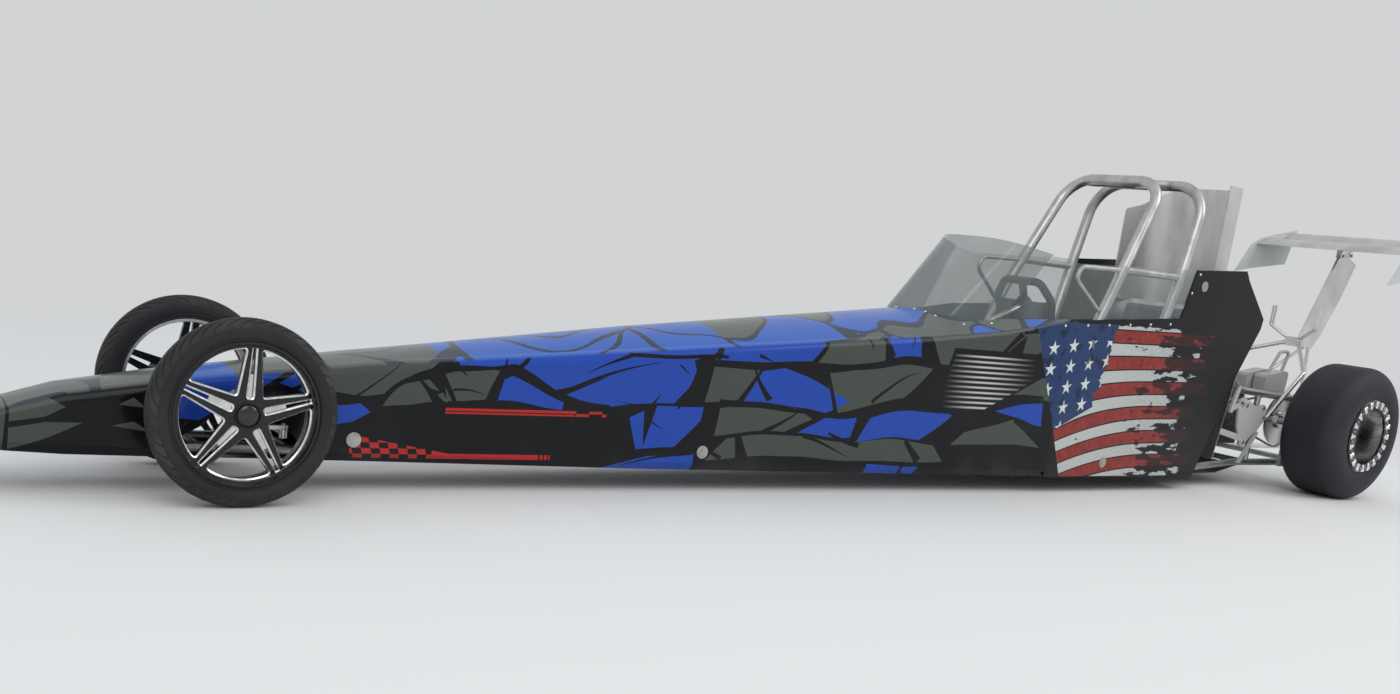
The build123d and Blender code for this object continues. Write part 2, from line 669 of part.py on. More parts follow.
# Roll cage: two hoops, top bars, side rails and the bars that loop forward of the front hoop
front_hoop = hoop(FRONT_HOOP, FRONT_HOOP_BEND)
save(front_hoop, "front_hoop")
main_hoop = hoop(MAIN_HOOP, MAIN_HOOP_BEND)
save(main_hoop, "main_hoop")
hoops = [front_hoop, main_hoop]
cage_bars = []
for side_name, side in SIDES:
    front_end = (FRONT_HOOP[-1][0], side * TOP_BAR_FRONT_Y, FRONT_HOOP[-1][2] - PLATE_T)
    rear_end = (MAIN_HOOP[-1][0], side * TOP_BAR_REAR_Y, MAIN_HOOP[-1][2])
    cage_bars.append(coped([front_end, rear_end], TOP_BAR_R, hoops))
    side_rail = [(SIDE_RAIL_FRONT, side * SIDE_RAIL_Y[0], SIDE_RAIL_Z),
                 (MAIN_HOOP[1][0], side * SIDE_RAIL_Y[1], SIDE_RAIL_Z)]
    cage_bars.append(coped(side_rail, SIDE_RAIL_R, hoops))
    fore_rail = [(s, side * y, z) for s, y, z in FORE_RAIL]
    cage_bars.append(coped(fore_rail, FORE_RAIL_R, [front_hoop], list(FORE_RAIL_BENDS)))
save(Compound(children=cage_bars), "cage_bars")

# Head surround behind the main hoop, curved in plan and arched over the head
with BuildPart() as head_surround:
    with BuildSketch(Plane.XY.offset(SURROUND_FOOT)):
        with BuildLine():
            back_x = x(SURROUND_FRONT + SURROUND_DEPTH)
            back_half = SURROUND_HALF - SURROUND_TAPER
            FilletPolyline((x(SURROUND_FRONT), -SURROUND_HALF), (back_x, -back_half), (back_x, back_half),
                           (x(SURROUND_FRONT), SURROUND_HALF), radius=SURROUND_BEND)
        trace(line_width=SHELL)
    extrude(amount=SURROUND_TOP - SURROUND_FOOT)
    with BuildSketch(section_plane(SURROUND_FRONT)):
        with Locations((0, (SURROUND_TOP + SURROUND_FOOT) / 2)):
            surround_face = Rectangle(2 * (SURROUND_HALF + SHELL), SURROUND_TOP - SURROUND_FOOT)
        fillet(surround_face.vertices().sort_by(Axis.Z)[-2:], SURROUND_BEND)
    extrude(amount=SURROUND_DEPTH + SHELL, mode=Mode.INTERSECT)
save(head_surround.part, "head_surround")

# Seat shell with side wings, and its pad
seat_points = ((x(SEAT_FRONT), SEAT_Z + SEAT_RISE), (x(SEAT_HIP), SEAT_Z), (x(SEAT_HEAD), SEAT_TOP))
with BuildPart() as seat:
    with BuildSketch(side_plane(0)):
        with BuildLine():
            FilletPolyline(*seat_points, radius=SEAT_BEND)
        trace(line_width=SEAT_THICK)
    extrude(amount=SEAT_HALF, both=True)
    for side_name, side in SIDES:
        with BuildSketch(side_plane(side * (SEAT_HALF - SEAT_THICK))):
            with BuildLine():
                FilletPolyline(*seat_points, radius=SEAT_BEND)
                Polyline(seat_points[2], (x(SEAT_HEAD) - WING_DEPTH, SEAT_TOP - SEAT_RISE),
                         (x(SEAT_HIP) - WING_DEPTH, SEAT_Z + SEAT_RISE + WING_RISE),
                         (x(SEAT_FRONT), SEAT_Z + SEAT_RISE + WING_RISE), seat_points[0])
            make_face()
        extrude(amount=-side * SEAT_THICK)
save(seat.part, "seat")

lift = SEAT_THICK / 2 + PAD_GAP + PAD_THICK / 2
pad_points = ((x(SEAT_FRONT), SEAT_Z + SEAT_RISE + lift), (x(SEAT_HIP) - lift / 2, SEAT_Z + lift),
              (x(SEAT_HEAD) - lift, SEAT_TOP))
with BuildPart() as seat_pad:
    with BuildSketch(side_plane(0)):
        with BuildLine():
            FilletPolyline(*pad_points, radius=SEAT_BEND - lift)
        trace(line_width=PAD_THICK)
    extrude(amount=SEAT_HALF - SEAT_THICK - PAD_SIDE, both=True)
    add(seat.part, mode=Mode.SUBTRACT)
save(max(seat_pad.part.solids(), key=lambda solid: solid.volume), "seat_pad")

# Firewall behind the seat, between the side panels
firewall_top = x(SEAT_HEAD + FIREWALL_BACK)
with BuildPart() as firewall:
    with BuildSketch(side_plane(0)):
        with BuildLine():
            Line((firewall_top - FIREWALL_SLOPE, FIREWALL_LOW), (firewall_top, FIREWALL_HIGH))
        trace(line_width=FIREWALL_T)
    extrude(amount=EAR_HALF - SHELL - CLEAR, both=True)
    for rail in low_pair + high_pair:
        add(rail, mode=Mode.SUBTRACT)
save(firewall.part, "firewall")

# Dash panel under the cowl, which carries the steering column
column_dir = Vector(-cos(radians(COLUMN_TILT)), 0, -sin(radians(COLUMN_TILT)))
column_top = Vector(x(WHEEL_STATION), 0, WHEEL_Z)
dash_half = body_row(WHEEL_STATION - DASH_AHEAD)[0] - DASH_INSET
dash_shoulder, dash_brow = [dash_half * share for share in DASH_SHARES]
with BuildPart() as dash_panel:
    with BuildSketch(section_plane(WHEEL_STATION - DASH_AHEAD)):
        with BuildLine():
            Polyline((-dash_half, DASH_LOW), (dash_half, DASH_LOW),
                     (dash_shoulder, DASH_HIGH - DASH_SHOULDER), (dash_brow, DASH_HIGH), (-dash_brow, DASH_HIGH),
                     (-dash_shoulder, DASH_HIGH - DASH_SHOULDER), close=True)
        make_face()
    extrude(amount=DASH_T)
    for rail in high_pair:
        add(rail, mode=Mode.SUBTRACT)
    with BuildSketch(Plane(origin=column_top, z_dir=column_dir)):
        Circle(COLUMN_R + PIN_CLEAR)
    extrude(amount=COLUMN_LENGTH, mode=Mode.SUBTRACT)
save(dash_panel.part, "dash_panel")

with BuildPart() as steering_column:
    with BuildSketch(Plane(origin=column_top + column_dir * STEER_HUB_T, z_dir=column_dir)):
        Circle(COLUMN_R)
    extrude(amount=COLUMN_LENGTH - STEER_HUB_T)
save(steering_column.part, "steering_column")

# Steering wheel: flat-topped rim on three spokes
steer_plane = Plane(origin=column_top, x_dir=(0, 1, 0), z_dir=column_dir)
grip_half = STEER_GRIP[1][0]
grip_foot = -STEER_GRIP[-1][1]
with BuildPart() as steering_wheel:
    with BuildLine(steer_plane) as grip:
        grip_left = [(-grip_y, grip_z) for grip_y, grip_z in reversed(STEER_GRIP)]
        FilletPolyline(*STEER_GRIP, *grip_left, radius=STEER_BEND, close=True)
    with BuildSketch(Plane(origin=grip.line @ 0, z_dir=grip.line % 0)):
        Circle(STEER_GRIP_R)
    sweep(path=grip.line)
    with BuildSketch(steer_plane):
        Rectangle(2 * grip_half, STEER_SPOKE_W)
        with Locations((0, -grip_foot / 2)):
            Rectangle(STEER_SPOKE_W, grip_foot)
        Circle(STEER_BOSS_R)
    extrude(amount=STEER_SPOKE_T / 2, both=True)
    with BuildSketch(steer_plane):
        Circle(STEER_HUB_R)
    extrude(amount=STEER_HUB_T)
save(steering_wheel.part, "steering_wheel")

# Front axle beam with kingpin eyes
with BuildPart() as front_axle:
    with BuildSketch(side_plane(KINGPIN_Y)):
        with Locations((x(0), FRONT_AXLE_Z)):
            Circle(AXLE_TUBE_R)
    extrude(amount=2 * KINGPIN_Y)
    for side_name, side in SIDES:
        with BuildSketch(Plane.XY.offset(FRONT_AXLE_Z)):
            with Locations((x(0), side * KINGPIN_Y)):
                Circle(EYE_R)
        extrude(amount=AXLE_EYE_H / 2, both=True)
        with BuildSketch(Plane.XY.offset(FRONT_AXLE_Z)):
            with Locations((x(0), side * KINGPIN_Y)):
                Circle(KINGPIN_R + PIN_CLEAR)
        extrude(amount=AXLE_EYE_H, both=True, mode=Mode.SUBTRACT)
save(front_axle.part, "front_axle")

# Knuckles: clevis with kingpin, spindle and steering arm
for side_name, side in SIDES:
    with BuildPart() as knuckle:
        for end in (LEFT, RIGHT):
            with BuildSketch(Plane.XY.offset(FRONT_AXLE_Z + end * (AXLE_EYE_H / 2 + EAR_GAP))):
                with Locations((x(0), side * KINGPIN_Y)):
                    Circle(EYE_R)
                with Locations((x(0), side * (KINGPIN_Y + (UPRIGHT_GAP + UPRIGHT_T) / 2))):
                    Rectangle(2 * EYE_R, UPRIGHT_GAP + UPRIGHT_T)
            extrude(amount=end * (KNUCKLE_H - AXLE_EYE_H - 2 * EAR_GAP) / 2)
        with BuildSketch(Plane.XY.offset(FRONT_AXLE_Z)):
            with Locations((x(0), side * (KINGPIN_Y + UPRIGHT_GAP + UPRIGHT_T / 2))):
                Rectangle(2 * EYE_R, UPRIGHT_T)
        extrude(amount=KNUCKLE_H / 2, both=True)
        with BuildSketch(Plane.XY.offset(FRONT_AXLE_Z)):
            with Locations((x(0), side * KINGPIN_Y)):
                Circle(KINGPIN_R)
        extrude(amount=KNUCKLE_H / 2 + KINGPIN_HEAD, both=True)
        with BuildSketch(side_plane(side * (KINGPIN_Y + UPRIGHT_GAP))):
            with Locations((x(0), FRONT_AXLE_Z)):
                Circle(SPINDLE_R)
        extrude(amount=-side * (SPINDLE_END - KINGPIN_Y - UPRIGHT_GAP))
        with BuildSketch(Plane.XY.offset(FRONT_AXLE_Z - KNUCKLE_H / 2)):
            with BuildLine():
                arm_y = side * KINGPIN_Y
                Polyline((x(-EYE_R), arm_y + ARM_ROOT_W / 2), (x(-EYE_R), arm_y - ARM_ROOT_W / 2),
                         (x(ARM_LENGTH), arm_y - ARM_TIP_W / 2), (x(ARM_LENGTH), arm_y + ARM_TIP_W / 2),
                         close=True)
            make_face()
            with Locations((x(ARM_LENGTH), arm_y)):
                Circle(ARM_TIP_W / 2)
                Circle(TIE_PIN_R + PIN_CLEAR, mode=Mode.SUBTRACT)
        extrude(amount=-ARM_THICK)
    save(knuckle.part, f"knuckle_{side_name}")

# Tie rod under the two steering arms
with BuildPart() as tie_rod:
    with BuildSketch(side_plane(KINGPIN_Y)):
        with Locations((x(ARM_LENGTH), TIE_Z)):
            Circle(TIE_ROD_R)
    extrude(amount=2 * KINGPIN_Y)
    for side_name, side in SIDES:
        with BuildSketch(Plane.XY.offset(TIE_Z)):
            with Locations((x(ARM_LENGTH), side * KINGPIN_Y)):
                Circle(TIE_EYE_R)
        extrude(amount=TIE_EYE_R, both=True)
        with BuildSketch(Plane.XY.offset(TIE_Z)):
            with Locations((x(ARM_LENGTH), side * KINGPIN_Y)):
                Circle(TIE_PIN_R)
        extrude(amount=TIE_EYE_R + EAR_GAP + ARM_THICK + TIE_PIN_HEAD)
save(tie_rod.part, "tie_rod")

# Front wheels: split-spoke rims and narrow tyres
for side_name, side in SIDES:
    centre_y = side * FRONT_TRACK / 2
    with BuildPart() as front_rim:
        with BuildSketch(side_plane(centre_y)):
            with Locations((x(0), FRONT_AXLE_Z)):
                Circle(FRONT_RIM_R)
                Circle(FRONT_WINDOW_R, mode=Mode.SUBTRACT)
        extrude(amount=FRONT_RIM_W / 2, both=True)
        with BuildSketch(side_plane(centre_y + side * (FRONT_RIM_W / 2 - SPOKE_SETBACK - SPOKE_THICK))):
            with Locations((x(0), FRONT_AXLE_Z)):
                Circle(FRONT_HUB_R)
                for start, end, root, tip, mode in (
                        (SPOKE_START_R, FRONT_WINDOW_R + SHELL, SPOKE_ROOT_W, SPOKE_TIP_W, Mode.ADD),
                        (SLOT_INNER, SLOT_OUTER, SLOT_ROOT_W, SLOT_TIP_W, Mode.SUBTRACT)):
                    with PolarLocations(0, SPOKE_COUNT, start_angle=SPOKE_TURN):
                        Polygon((start, -root / 2), (end, -tip / 2), (end, tip / 2), (start, root / 2),
                                align=None, mode=mode)
        extrude(amount=-side * SPOKE_THICK)
        with BuildSketch(side_plane(side * HUB_IN)):
            with Locations((x(0), FRONT_AXLE_Z)):
                Circle(FRONT_CAP_R)
        extrude(amount=-side * (SPINDLE_LENGTH + CAP_COVER))
        with BuildSketch(side_plane(side * HUB_IN)):
            with Locations((x(0), FRONT_AXLE_Z)):
                Circle(SPINDLE_R + PIN_CLEAR)
        extrude(amount=-side * (SPINDLE_LENGTH + EAR_GAP), mode=Mode.SUBTRACT)
    save(front_rim.part, f"front_rim_{side_name}")
    with BuildPart() as front_tyre:
        with BuildSketch(wheel_plane(0, centre_y, FRONT_AXLE_Z)):
            with BuildLine():
                outer = FRONT_TYRE_D / 2
                half = FRONT_TYRE_W / 2
                bulge_r = FRONT_RIM_R + FRONT_BULGE_RISE
                shoulder = (outer - FRONT_SHOULDER_DROP, half - FRONT_SHOULDER_IN)
                Line((FRONT_RIM_R, -FRONT_RIM_W / 2), (FRONT_RIM_R, FRONT_RIM_W / 2))
                ThreePointArc((FRONT_RIM_R, FRONT_RIM_W / 2), (bulge_r, half), shoulder)
                ThreePointArc(shoulder, (outer, 0), (shoulder[0], -shoulder[1]))
                ThreePointArc((shoulder[0], -shoulder[1]), (bulge_r, -half), (FRONT_RIM_R, -FRONT_RIM_W / 2))
            make_face()
        revolve(axis=Axis((x(0), centre_y, FRONT_AXLE_Z), (0, 1, 0)))
    save(front_tyre.part, f"front_tyre_{side_name}")

# Rear axle with its sprocket and brake disc
AXLE_END = REAR_TRACK / 2 - BARREL_EDGE
with BuildPart() as rear_axle:
    with BuildSketch(side_plane(AXLE_END)):
        with Locations((x(WHEELBASE), REAR_AXLE_Z)):
            Circle(REAR_AXLE_R)
    extrude(amount=2 * AXLE_END)
save(rear_axle.part, "rear_axle")

for disc_name, disc_y, disc_r, disc_t in (("sprocket", SPROCKET_Y, SPROCKET_R, SPROCKET_T),
                                          ("brake_disc", DISC_Y, DISC_R, DISC_T)):
    with BuildPart() as disc:
        for radius, thick in ((disc_r, disc_t), (FLANGE_R, FLANGE_T)):
            with BuildSketch(side_plane(disc_y + thick / 2)):
                with Locations((x(WHEELBASE), REAR_AXLE_Z)):
                    Circle(radius)
                    Circle(REAR_AXLE_R, mode=Mode.SUBTRACT)
            extrude(amount=thick)
    save(disc.part, disc_name)

# Rear wheels: wide rims with a deep barrel outside, and slicks
for side_name, side in SIDES:
    centre_y = side * REAR_TRACK / 2
    wheel_axis = Axis((x(WHEELBASE), centre_y, REAR_AXLE_Z), (0, 1, 0))
    edge = REAR_RIM_W / 2
    bead = edge - BARREL_EDGE
    neck = REAR_RIM_R - BARREL_DROP
    wall = neck - BARREL_WALL
    # Half section of the rim, as radius and distance outwards from its middle
    rim_outline = ((0, -BARREL_EDGE), (REAR_AXLE_R, -BARREL_EDGE), (REAR_AXLE_R, CENTRE_OUT - CENTRE_T),
                   (wall, CENTRE_OUT - CENTRE_T), (wall, -bead), (REAR_RIM_R - FLANGE_H, -edge),
                   (REAR_RIM_R, -edge), (neck, -bead), (neck, bead), (REAR_RIM_R, edge),
                   (REAR_RIM_R - FLANGE_H, edge), (wall, CENTRE_OUT + BARREL_EDGE), (wall, CENTRE_OUT),
                   (WHEEL_HUB_R, CENTRE_OUT), (WHEEL_HUB_R, WHEEL_HUB_OUT), (0, WHEEL_HUB_OUT))
    with BuildPart() as rear_rim:
        with BuildSketch(wheel_plane(WHEELBASE, centre_y, REAR_AXLE_Z)):
            with BuildLine():
                Polyline(*[(radius, -side * outwards) for radius, outwards in rim_outline], close=True)
            make_face()
        revolve(axis=wheel_axis)
        add(rear_axle.part, mode=Mode.SUBTRACT)
    save(rear_rim.part, f"rear_rim_{side_name}")
    with BuildPart() as rear_tyre:
        with BuildSketch(wheel_plane(WHEELBASE, centre_y, REAR_AXLE_Z)):
            with BuildLine():
                outer = REAR_TYRE_D / 2
                half = REAR_TYRE_W / 2
                flat = half - SHOULDER_IN - SHOULDER_RUN
                bend = (SHOULDER_RUN ** 2 + SHOULDER_DROP ** 2) / (2 * SHOULDER_DROP)
                turn = asin(SHOULDER_RUN / bend) / 2
                mid = (outer - bend + bend * cos(turn), flat + bend * sin(turn))
                shoulder = (outer - SHOULDER_DROP, flat + SHOULDER_RUN)
                bulge_r = REAR_RIM_R + REAR_BULGE_RISE
                Line((REAR_RIM_R, -edge), (REAR_RIM_R, edge))
                ThreePointArc((REAR_RIM_R, edge), (bulge_r, half), shoulder)
                ThreePointArc(shoulder, mid, (outer, flat))
                Line((outer, flat), (outer, -flat))
                ThreePointArc((outer, -flat), (mid[0], -mid[1]), (shoulder[0], -shoulder[1]))
                ThreePointArc((shoulder[0], -shoulder[1]), (bulge_r, -half), (REAR_RIM_R, -edge))
            make_face()
        revolve(axis=wheel_axis)
    save(rear_tyre.part, f"rear_tyre_{side_name}")

# Bearing plates on the outer faces of the rear rails
PLATE_Y = REAR_RAIL_Y + RAIL_R
bearing_plates = []
for side_name, side in SIDES:
    with BuildPart() as bearing_plate:
        with BuildSketch(side_plane(side * PLATE_Y)):
            with BuildLine():
                Polyline(*[(x(WHEELBASE + s), z) for s, z in BEARING_OUTLINE], close=True)
            make_face()
            with Locations((x(WHEELBASE), REAR_AXLE_Z)):
                Circle(REAR_AXLE_R + PIN_CLEAR, mode=Mode.SUBTRACT)
        extrude(amount=-side * BEARING_T)
    bearing_plates.append(bearing_plate.part)
save(Compound(children=bearing_plates), "bearing_plates")

# Brake caliper astride the disc
with BuildPart() as brake_caliper:
    with BuildSketch(side_plane(DISC_Y + CALIPER_T / 2)):
        with Locations((x(WHEELBASE) - DISC_R + CALIPER_BITE, REAR_AXLE_Z + CALIPER_UP)):
            Rectangle(CALIPER_W, CALIPER_H)
    extrude(amount=CALIPER_T)
    with BuildSketch(side_plane(DISC_Y + DISC_T / 2 + PAD_SPACE)):
        with Locations((x(WHEELBASE), REAR_AXLE_Z)):
            Circle(DISC_R + PAD_SPACE)
    extrude(amount=DISC_T + 2 * PAD_SPACE, mode=Mode.SUBTRACT)
save(brake_caliper.part, "brake_caliper")

# Engine block with the two sheet covers above it
with BuildPart() as engine_block:
    with Locations((x(fore(ENGINE_AHEAD)), ENGINE_Y, ENGINE_Z)):
        Box(*ENGINE_SIZE)
save(engine_block.part, "engine_block")

for cover_name, outline, span in (("engine_cover", COVER_OUTLINE, COVER_Y),
                                  ("fuel_tank", TANK_OUTLINE, TANK_Y)):
    tank_middle = (TANK_Y[0] + TANK_Y[1]) / 2
    handle = tube([(fore(ahead), tank_middle, z) for ahead, z in HANDLE], HANDLE_R, HANDLE_BEND)
    with BuildPart() as cover:
        with BuildSketch(side_plane(span[1])):
            with BuildLine():
                Polyline(*[(x(fore(ahead)), z) for ahead, z in outline], close=True)
            make_face()
        extrude(amount=span[1] - span[0])
        if cover_name == "fuel_tank":
            add(handle)
        else:
            with BuildSketch(side_plane(SHELF_Y[1])):
                with BuildLine():
                    Polyline(*[(x(fore(ahead)), z) for z in (SHELF_Z, BOX_Z) for ahead in SHELF_AHEAD])
                make_hull()
            extrude(amount=SHELF_Y[1] - SHELF_Y[0])
        for disc_y, disc_r in ((SPROCKET_Y, SPROCKET_R), (DISC_Y, DISC_R)):
            with BuildSketch(side_plane(disc_y + SPROCKET_ROOM)):
                with Locations((x(WHEELBASE), REAR_AXLE_Z)):
                    Circle(disc_r + SPROCKET_ROOM)
            extrude(amount=2 * SPROCKET_ROOM, mode=Mode.SUBTRACT)
    save(cover.part, cover_name)

# Clutch on the engine's left face, its pinion in the plane of the sprocket, and the drive chain
CLUTCH_FACE = ENGINE_Y - ENGINE_SIZE[1] / 2 - CLEAR
with BuildPart() as clutch:
    for radius, depth in ((CLUTCH_R, CLUTCH_T), (PINION_R, CLUTCH_FACE - SPROCKET_Y + CHAIN_W / 2)):
        with BuildSketch(side_plane(CLUTCH_FACE)):
            with Locations((x(fore(CLUTCH_AHEAD)), CLUTCH_Z)):
                Circle(radius)
        extrude(amount=depth)
save(clutch.part, "clutch")

with BuildPart() as drive_chain:
    for grow, mode in ((CHAIN_GAP + CHAIN_T, Mode.ADD), (CHAIN_GAP, Mode.SUBTRACT)):
        with BuildSketch(side_plane(SPROCKET_Y + CHAIN_W / 2)):
            with Locations((x(fore(CLUTCH_AHEAD)), CLUTCH_Z)):
                Circle(PINION_R + grow)
            with Locations((x(WHEELBASE), REAR_AXLE_Z)):
                Circle(SPROCKET_R + grow)
            make_hull()
        extrude(amount=CHAIN_W, mode=mode)
save(drive_chain.part, "drive_chain")

# Side plate with the jackshaft's bore, on the outer faces of the left rails
with BuildPart() as motor_plate:
    with BuildSketch(side_plane(-PLATE_Y)) as plate_face:
        with BuildLine():
            Polyline(*[(x(fore(ahead)), z) for ahead, z in PLATE_OUTLINE], close=True)
        make_face()
        fillet(plate_face.vertices(), PLATE_CORNER)
        for strap in PLATE_STRAPS:
            Polygon(*[(x(fore(ahead)), z) for ahead, z in strap], align=None)
        with Locations((x(fore(JACK_AHEAD)), JACK_Z)):
            Circle(JACK_BORE_R, mode=Mode.SUBTRACT)
    extrude(amount=PLATE_T)
    add(high_pair[0], mode=Mode.SUBTRACT)
    with BuildSketch(side_plane(-PLATE_Y - PLATE_T)):
        with BuildLine():
            Polyline(*[(x(fore(ahead)), z) for ahead, z in SIDE_BAR], close=True)
        make_face()
    extrude(amount=SIDE_BAR_T)
save(motor_plate.part, "motor_plate")

# Tray under the engine, from the belly pan up to the cross tube
with BuildPart() as engine_tray:
    with BuildSketch(side_plane(TRAY_HALF)):
        with BuildLine():
            upper = [(x(station), z) for station, z in TRAY]
            Polyline(*upper, *[(place, z - TRAY_T) for place, z in reversed(upper)], close=True)
        make_face()
    extrude(amount=2 * TRAY_HALF)
save(engine_tray.part, "engine_tray")


# Wing on a single pylon
def aerofoil(chord, thick, lead, height, tilt):
    """Wing section: shallow belly and arched back, leading edge at station and height."""
    chord_dir = (cos(radians(tilt)), 0, sin(radians(tilt)))
    with BuildSketch(Plane(origin=(x(lead), 0, height), x_dir=chord_dir, z_dir=(0, -1, 0))) as sketch:
        with BuildLine():
            ThreePointArc((0, 0), (chord * CROWN_SHARE, thick * BACK_SHARE), (chord, TRAIL_T))
            Line((chord, TRAIL_T), (chord, 0))
            ThreePointArc((chord, 0), (chord * CROWN_SHARE, thick * (BACK_SHARE - 1)), (0, 0))
        make_face()
    return sketch.sketch


wing_lead = fore(WING_AHEAD)
flap_lead = wing_lead + WING_CHORD + FLAP_GAP[0]
blades = []
for wing_name, chord, thick, lead, height, tilt in (
        ("wing_main", WING_CHORD, WING_THICK, wing_lead, WING_Z, WING_TILT),
        ("wing_flap", FLAP_CHORD, FLAP_THICK, flap_lead, WING_Z + FLAP_GAP[1], FLAP_TILT)):
    with BuildPart() as blade:
        add(aerofoil(chord, thick, lead, height, tilt))
        extrude(amount=WING_HALF_SPAN, dir=(0, -1, 0), both=True)
    save(blade.part, wing_name)
    blades.append(blade.part)

with BuildPart() as wing_pylon:
    with BuildSketch(side_plane(PYLON_T / 2)):
        with BuildLine():
            Polyline(*[(x(WHEELBASE + behind), z) for behind, z in PYLON], close=True)
        make_face()
    extrude(amount=PYLON_T)
    add(blades[0], mode=Mode.SUBTRACT)
wing_pylon_body = min(wing_pylon.part.solids(), key=lambda solid: solid.bounding_box().min.Z)
save(wing_pylon_body, "wing_pylon")

end_plates = []
for side_name, side in SIDES:
    with BuildPart() as end_plate:
        with BuildSketch(side_plane(side * WING_HALF_SPAN)):
            with BuildLine():
                Polyline(*[(x(WHEELBASE + behind), z) for behind, z in END_PLATE], close=True)
            make_face()
        extrude(amount=-side * END_PLATE_T)
    end_plates.append(end_plate.part)
save(Compound(children=end_plates), "wing_end_plates")

# Stand: struts, stays and fork that meet at the block round the pylon's foot
stay_z = rail_point(high_pair, TAIL_UPRIGHT)[1]
with BuildPart() as wing_stand:
    with Locations((x(STAND_TOP[0]), 0, STAND_TOP[1])):
        Box(*STAND_BLOCK)
    for side_name, side in SIDES:
        foot = STRUT_FOOT[side]
        strut = [(foot[0], side * foot[1], foot[2]), (STRUT_KNEE[0], side * STRUT_KNEE[1], STRUT_KNEE[2]),
                 (STAND_TOP[0], side * STRUT_HALF, STAND_TOP[1])]
        add(tube(strut, STRUT_R, STRUT_BEND))
        stay = [(TAIL_UPRIGHT, side * STAY_FOOT_Y, stay_z), (STAY_TOP[0], side * STAY_TOP[1], STAY_TOP[2])]
        add(tube(stay, STAY_R))
        for shift in FORK_SPREAD:
            add(tube([(station + shift, side * y, z) for station, y, z in FORK], FORK_R, FORK_BEND))
    for cutter in crossbars + [wing_pylon_body]:
        add(cutter, mode=Mode.SUBTRACT)
save(wing_stand.part, "wing_stand")

# Wheelie bar behind the rear axle, its small wheels clear of the ground
with BuildPart() as wheelie_bar:
    for side_name, side in SIDES:
        for root_z, end_station, end_y, radius in (
                (LOWER_RAIL_Z, WHEELIE_STATION, WHEELIE_Y, WHEELIE_TUBE_R),
                (UPPER_RAIL_REAR_Z, WHEELIE_STAY_END[0], WHEELIE_STAY_END[1], WHEELIE_STAY_R)):
            root = (FRAME_REAR, side * WHEELIE_ROOT_Y, root_z)
            add(tube([root, (end_station, side * end_y, WHEELIE_Z)], radius))
    with BuildSketch(side_plane(WHEELIE_Y + WHEELIE_PIN_OVER)):
        with Locations((x(WHEELIE_STATION), WHEELIE_Z)):
            Circle(WHEELIE_PIN_R)
    extrude(amount=2 * (WHEELIE_Y + WHEELIE_PIN_OVER))
save(wheelie_bar.part, "wheelie_bar")

with BuildPart() as wheelie_wheels:
    with BuildSketch(side_plane(WHEELIE_WHEEL_W / 2)):
        with Locations((x(WHEELIE_STATION), WHEELIE_Z)):
            Circle(WHEELIE_WHEEL_D / 2)
            Circle(WHEELIE_PIN_R + PIN_CLEAR, mode=Mode.SUBTRACT)
    extrude(amount=WHEELIE_WHEEL_W)
save(wheelie_wheels.part, "wheelie_wheels")
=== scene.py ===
"""Looks of a half-scale dragster: painted wedge body, smoked screen, bare cage, wheels, driveline and wing.

Metres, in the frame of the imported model: nose to -X, driver's left to -Y, +Z up, ground at z = 0.
Stations are measured back from the front axle, as in the part's source.
"""
from __future__ import annotations

import logging
import math
from dataclasses import dataclass
from enum import Enum
from functools import reduce
from typing import Callable, Iterable, Sequence

import bmesh
import bpy
from mathutils import Matrix, Vector
from mathutils.geometry import tessellate_polygon


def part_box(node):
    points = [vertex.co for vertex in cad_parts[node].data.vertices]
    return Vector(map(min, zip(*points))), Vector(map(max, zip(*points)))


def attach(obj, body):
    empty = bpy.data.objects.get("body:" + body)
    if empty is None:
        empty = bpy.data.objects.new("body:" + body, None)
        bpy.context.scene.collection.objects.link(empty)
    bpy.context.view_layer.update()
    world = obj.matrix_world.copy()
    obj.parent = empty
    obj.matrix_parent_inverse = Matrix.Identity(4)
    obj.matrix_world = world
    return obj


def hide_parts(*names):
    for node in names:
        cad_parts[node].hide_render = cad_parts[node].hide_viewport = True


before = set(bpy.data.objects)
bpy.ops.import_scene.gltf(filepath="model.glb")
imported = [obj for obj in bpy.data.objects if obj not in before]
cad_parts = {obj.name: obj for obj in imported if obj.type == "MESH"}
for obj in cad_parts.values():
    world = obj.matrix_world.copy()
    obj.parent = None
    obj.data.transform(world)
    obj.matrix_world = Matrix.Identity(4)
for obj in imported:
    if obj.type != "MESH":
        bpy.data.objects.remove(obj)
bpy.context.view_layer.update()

LOG = logging.getLogger("dragster")
NODES: dict[str, bpy.types.Object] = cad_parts
FRONT_AXLE_X = -2.024
REAR_AXLE = 3.810
REAR_RADIUS = 0.231
MERGE = 1e-6
Point = tuple[float, float, float]
Flat = tuple[float, float]
Colour = tuple[float, float, float]


def at(station: float, y: float, z: float) -> Vector:
    """Point of the model's frame at a station behind the front axle.

    Args:
        station: distance behind the front axle.
        y: distance to the right of the centre line.
        z: height over the ground.
    Returns:
        The point in the model's frame.
    """
    return Vector((FRONT_AXLE_X + station, y, z))


class Side(Enum):
    """Side of the car; the value is the sign of Y."""

    LEFT = -1
    RIGHT = 1

    @property
    def tag(self) -> str:
        """The side's name in lower case, as node names end in it."""
        return self.name.lower()

    @property
    def out(self) -> Vector:
        """Direction away from the middle of the car."""
        return Vector((0, self.value, 0))

    def wheel_frame(self, centre: Vector) -> Matrix:
        """Frame whose x runs along the car, y upwards and z outwards from it.

        Args:
            centre: origin of the frame.
        Returns:
            A proper rotation and shift.
        """
        up = Vector((0, 0, 1))
        turn = Matrix((up.cross(self.out), up, self.out)).transposed().to_4x4()
        return Matrix.Translation(centre) @ turn


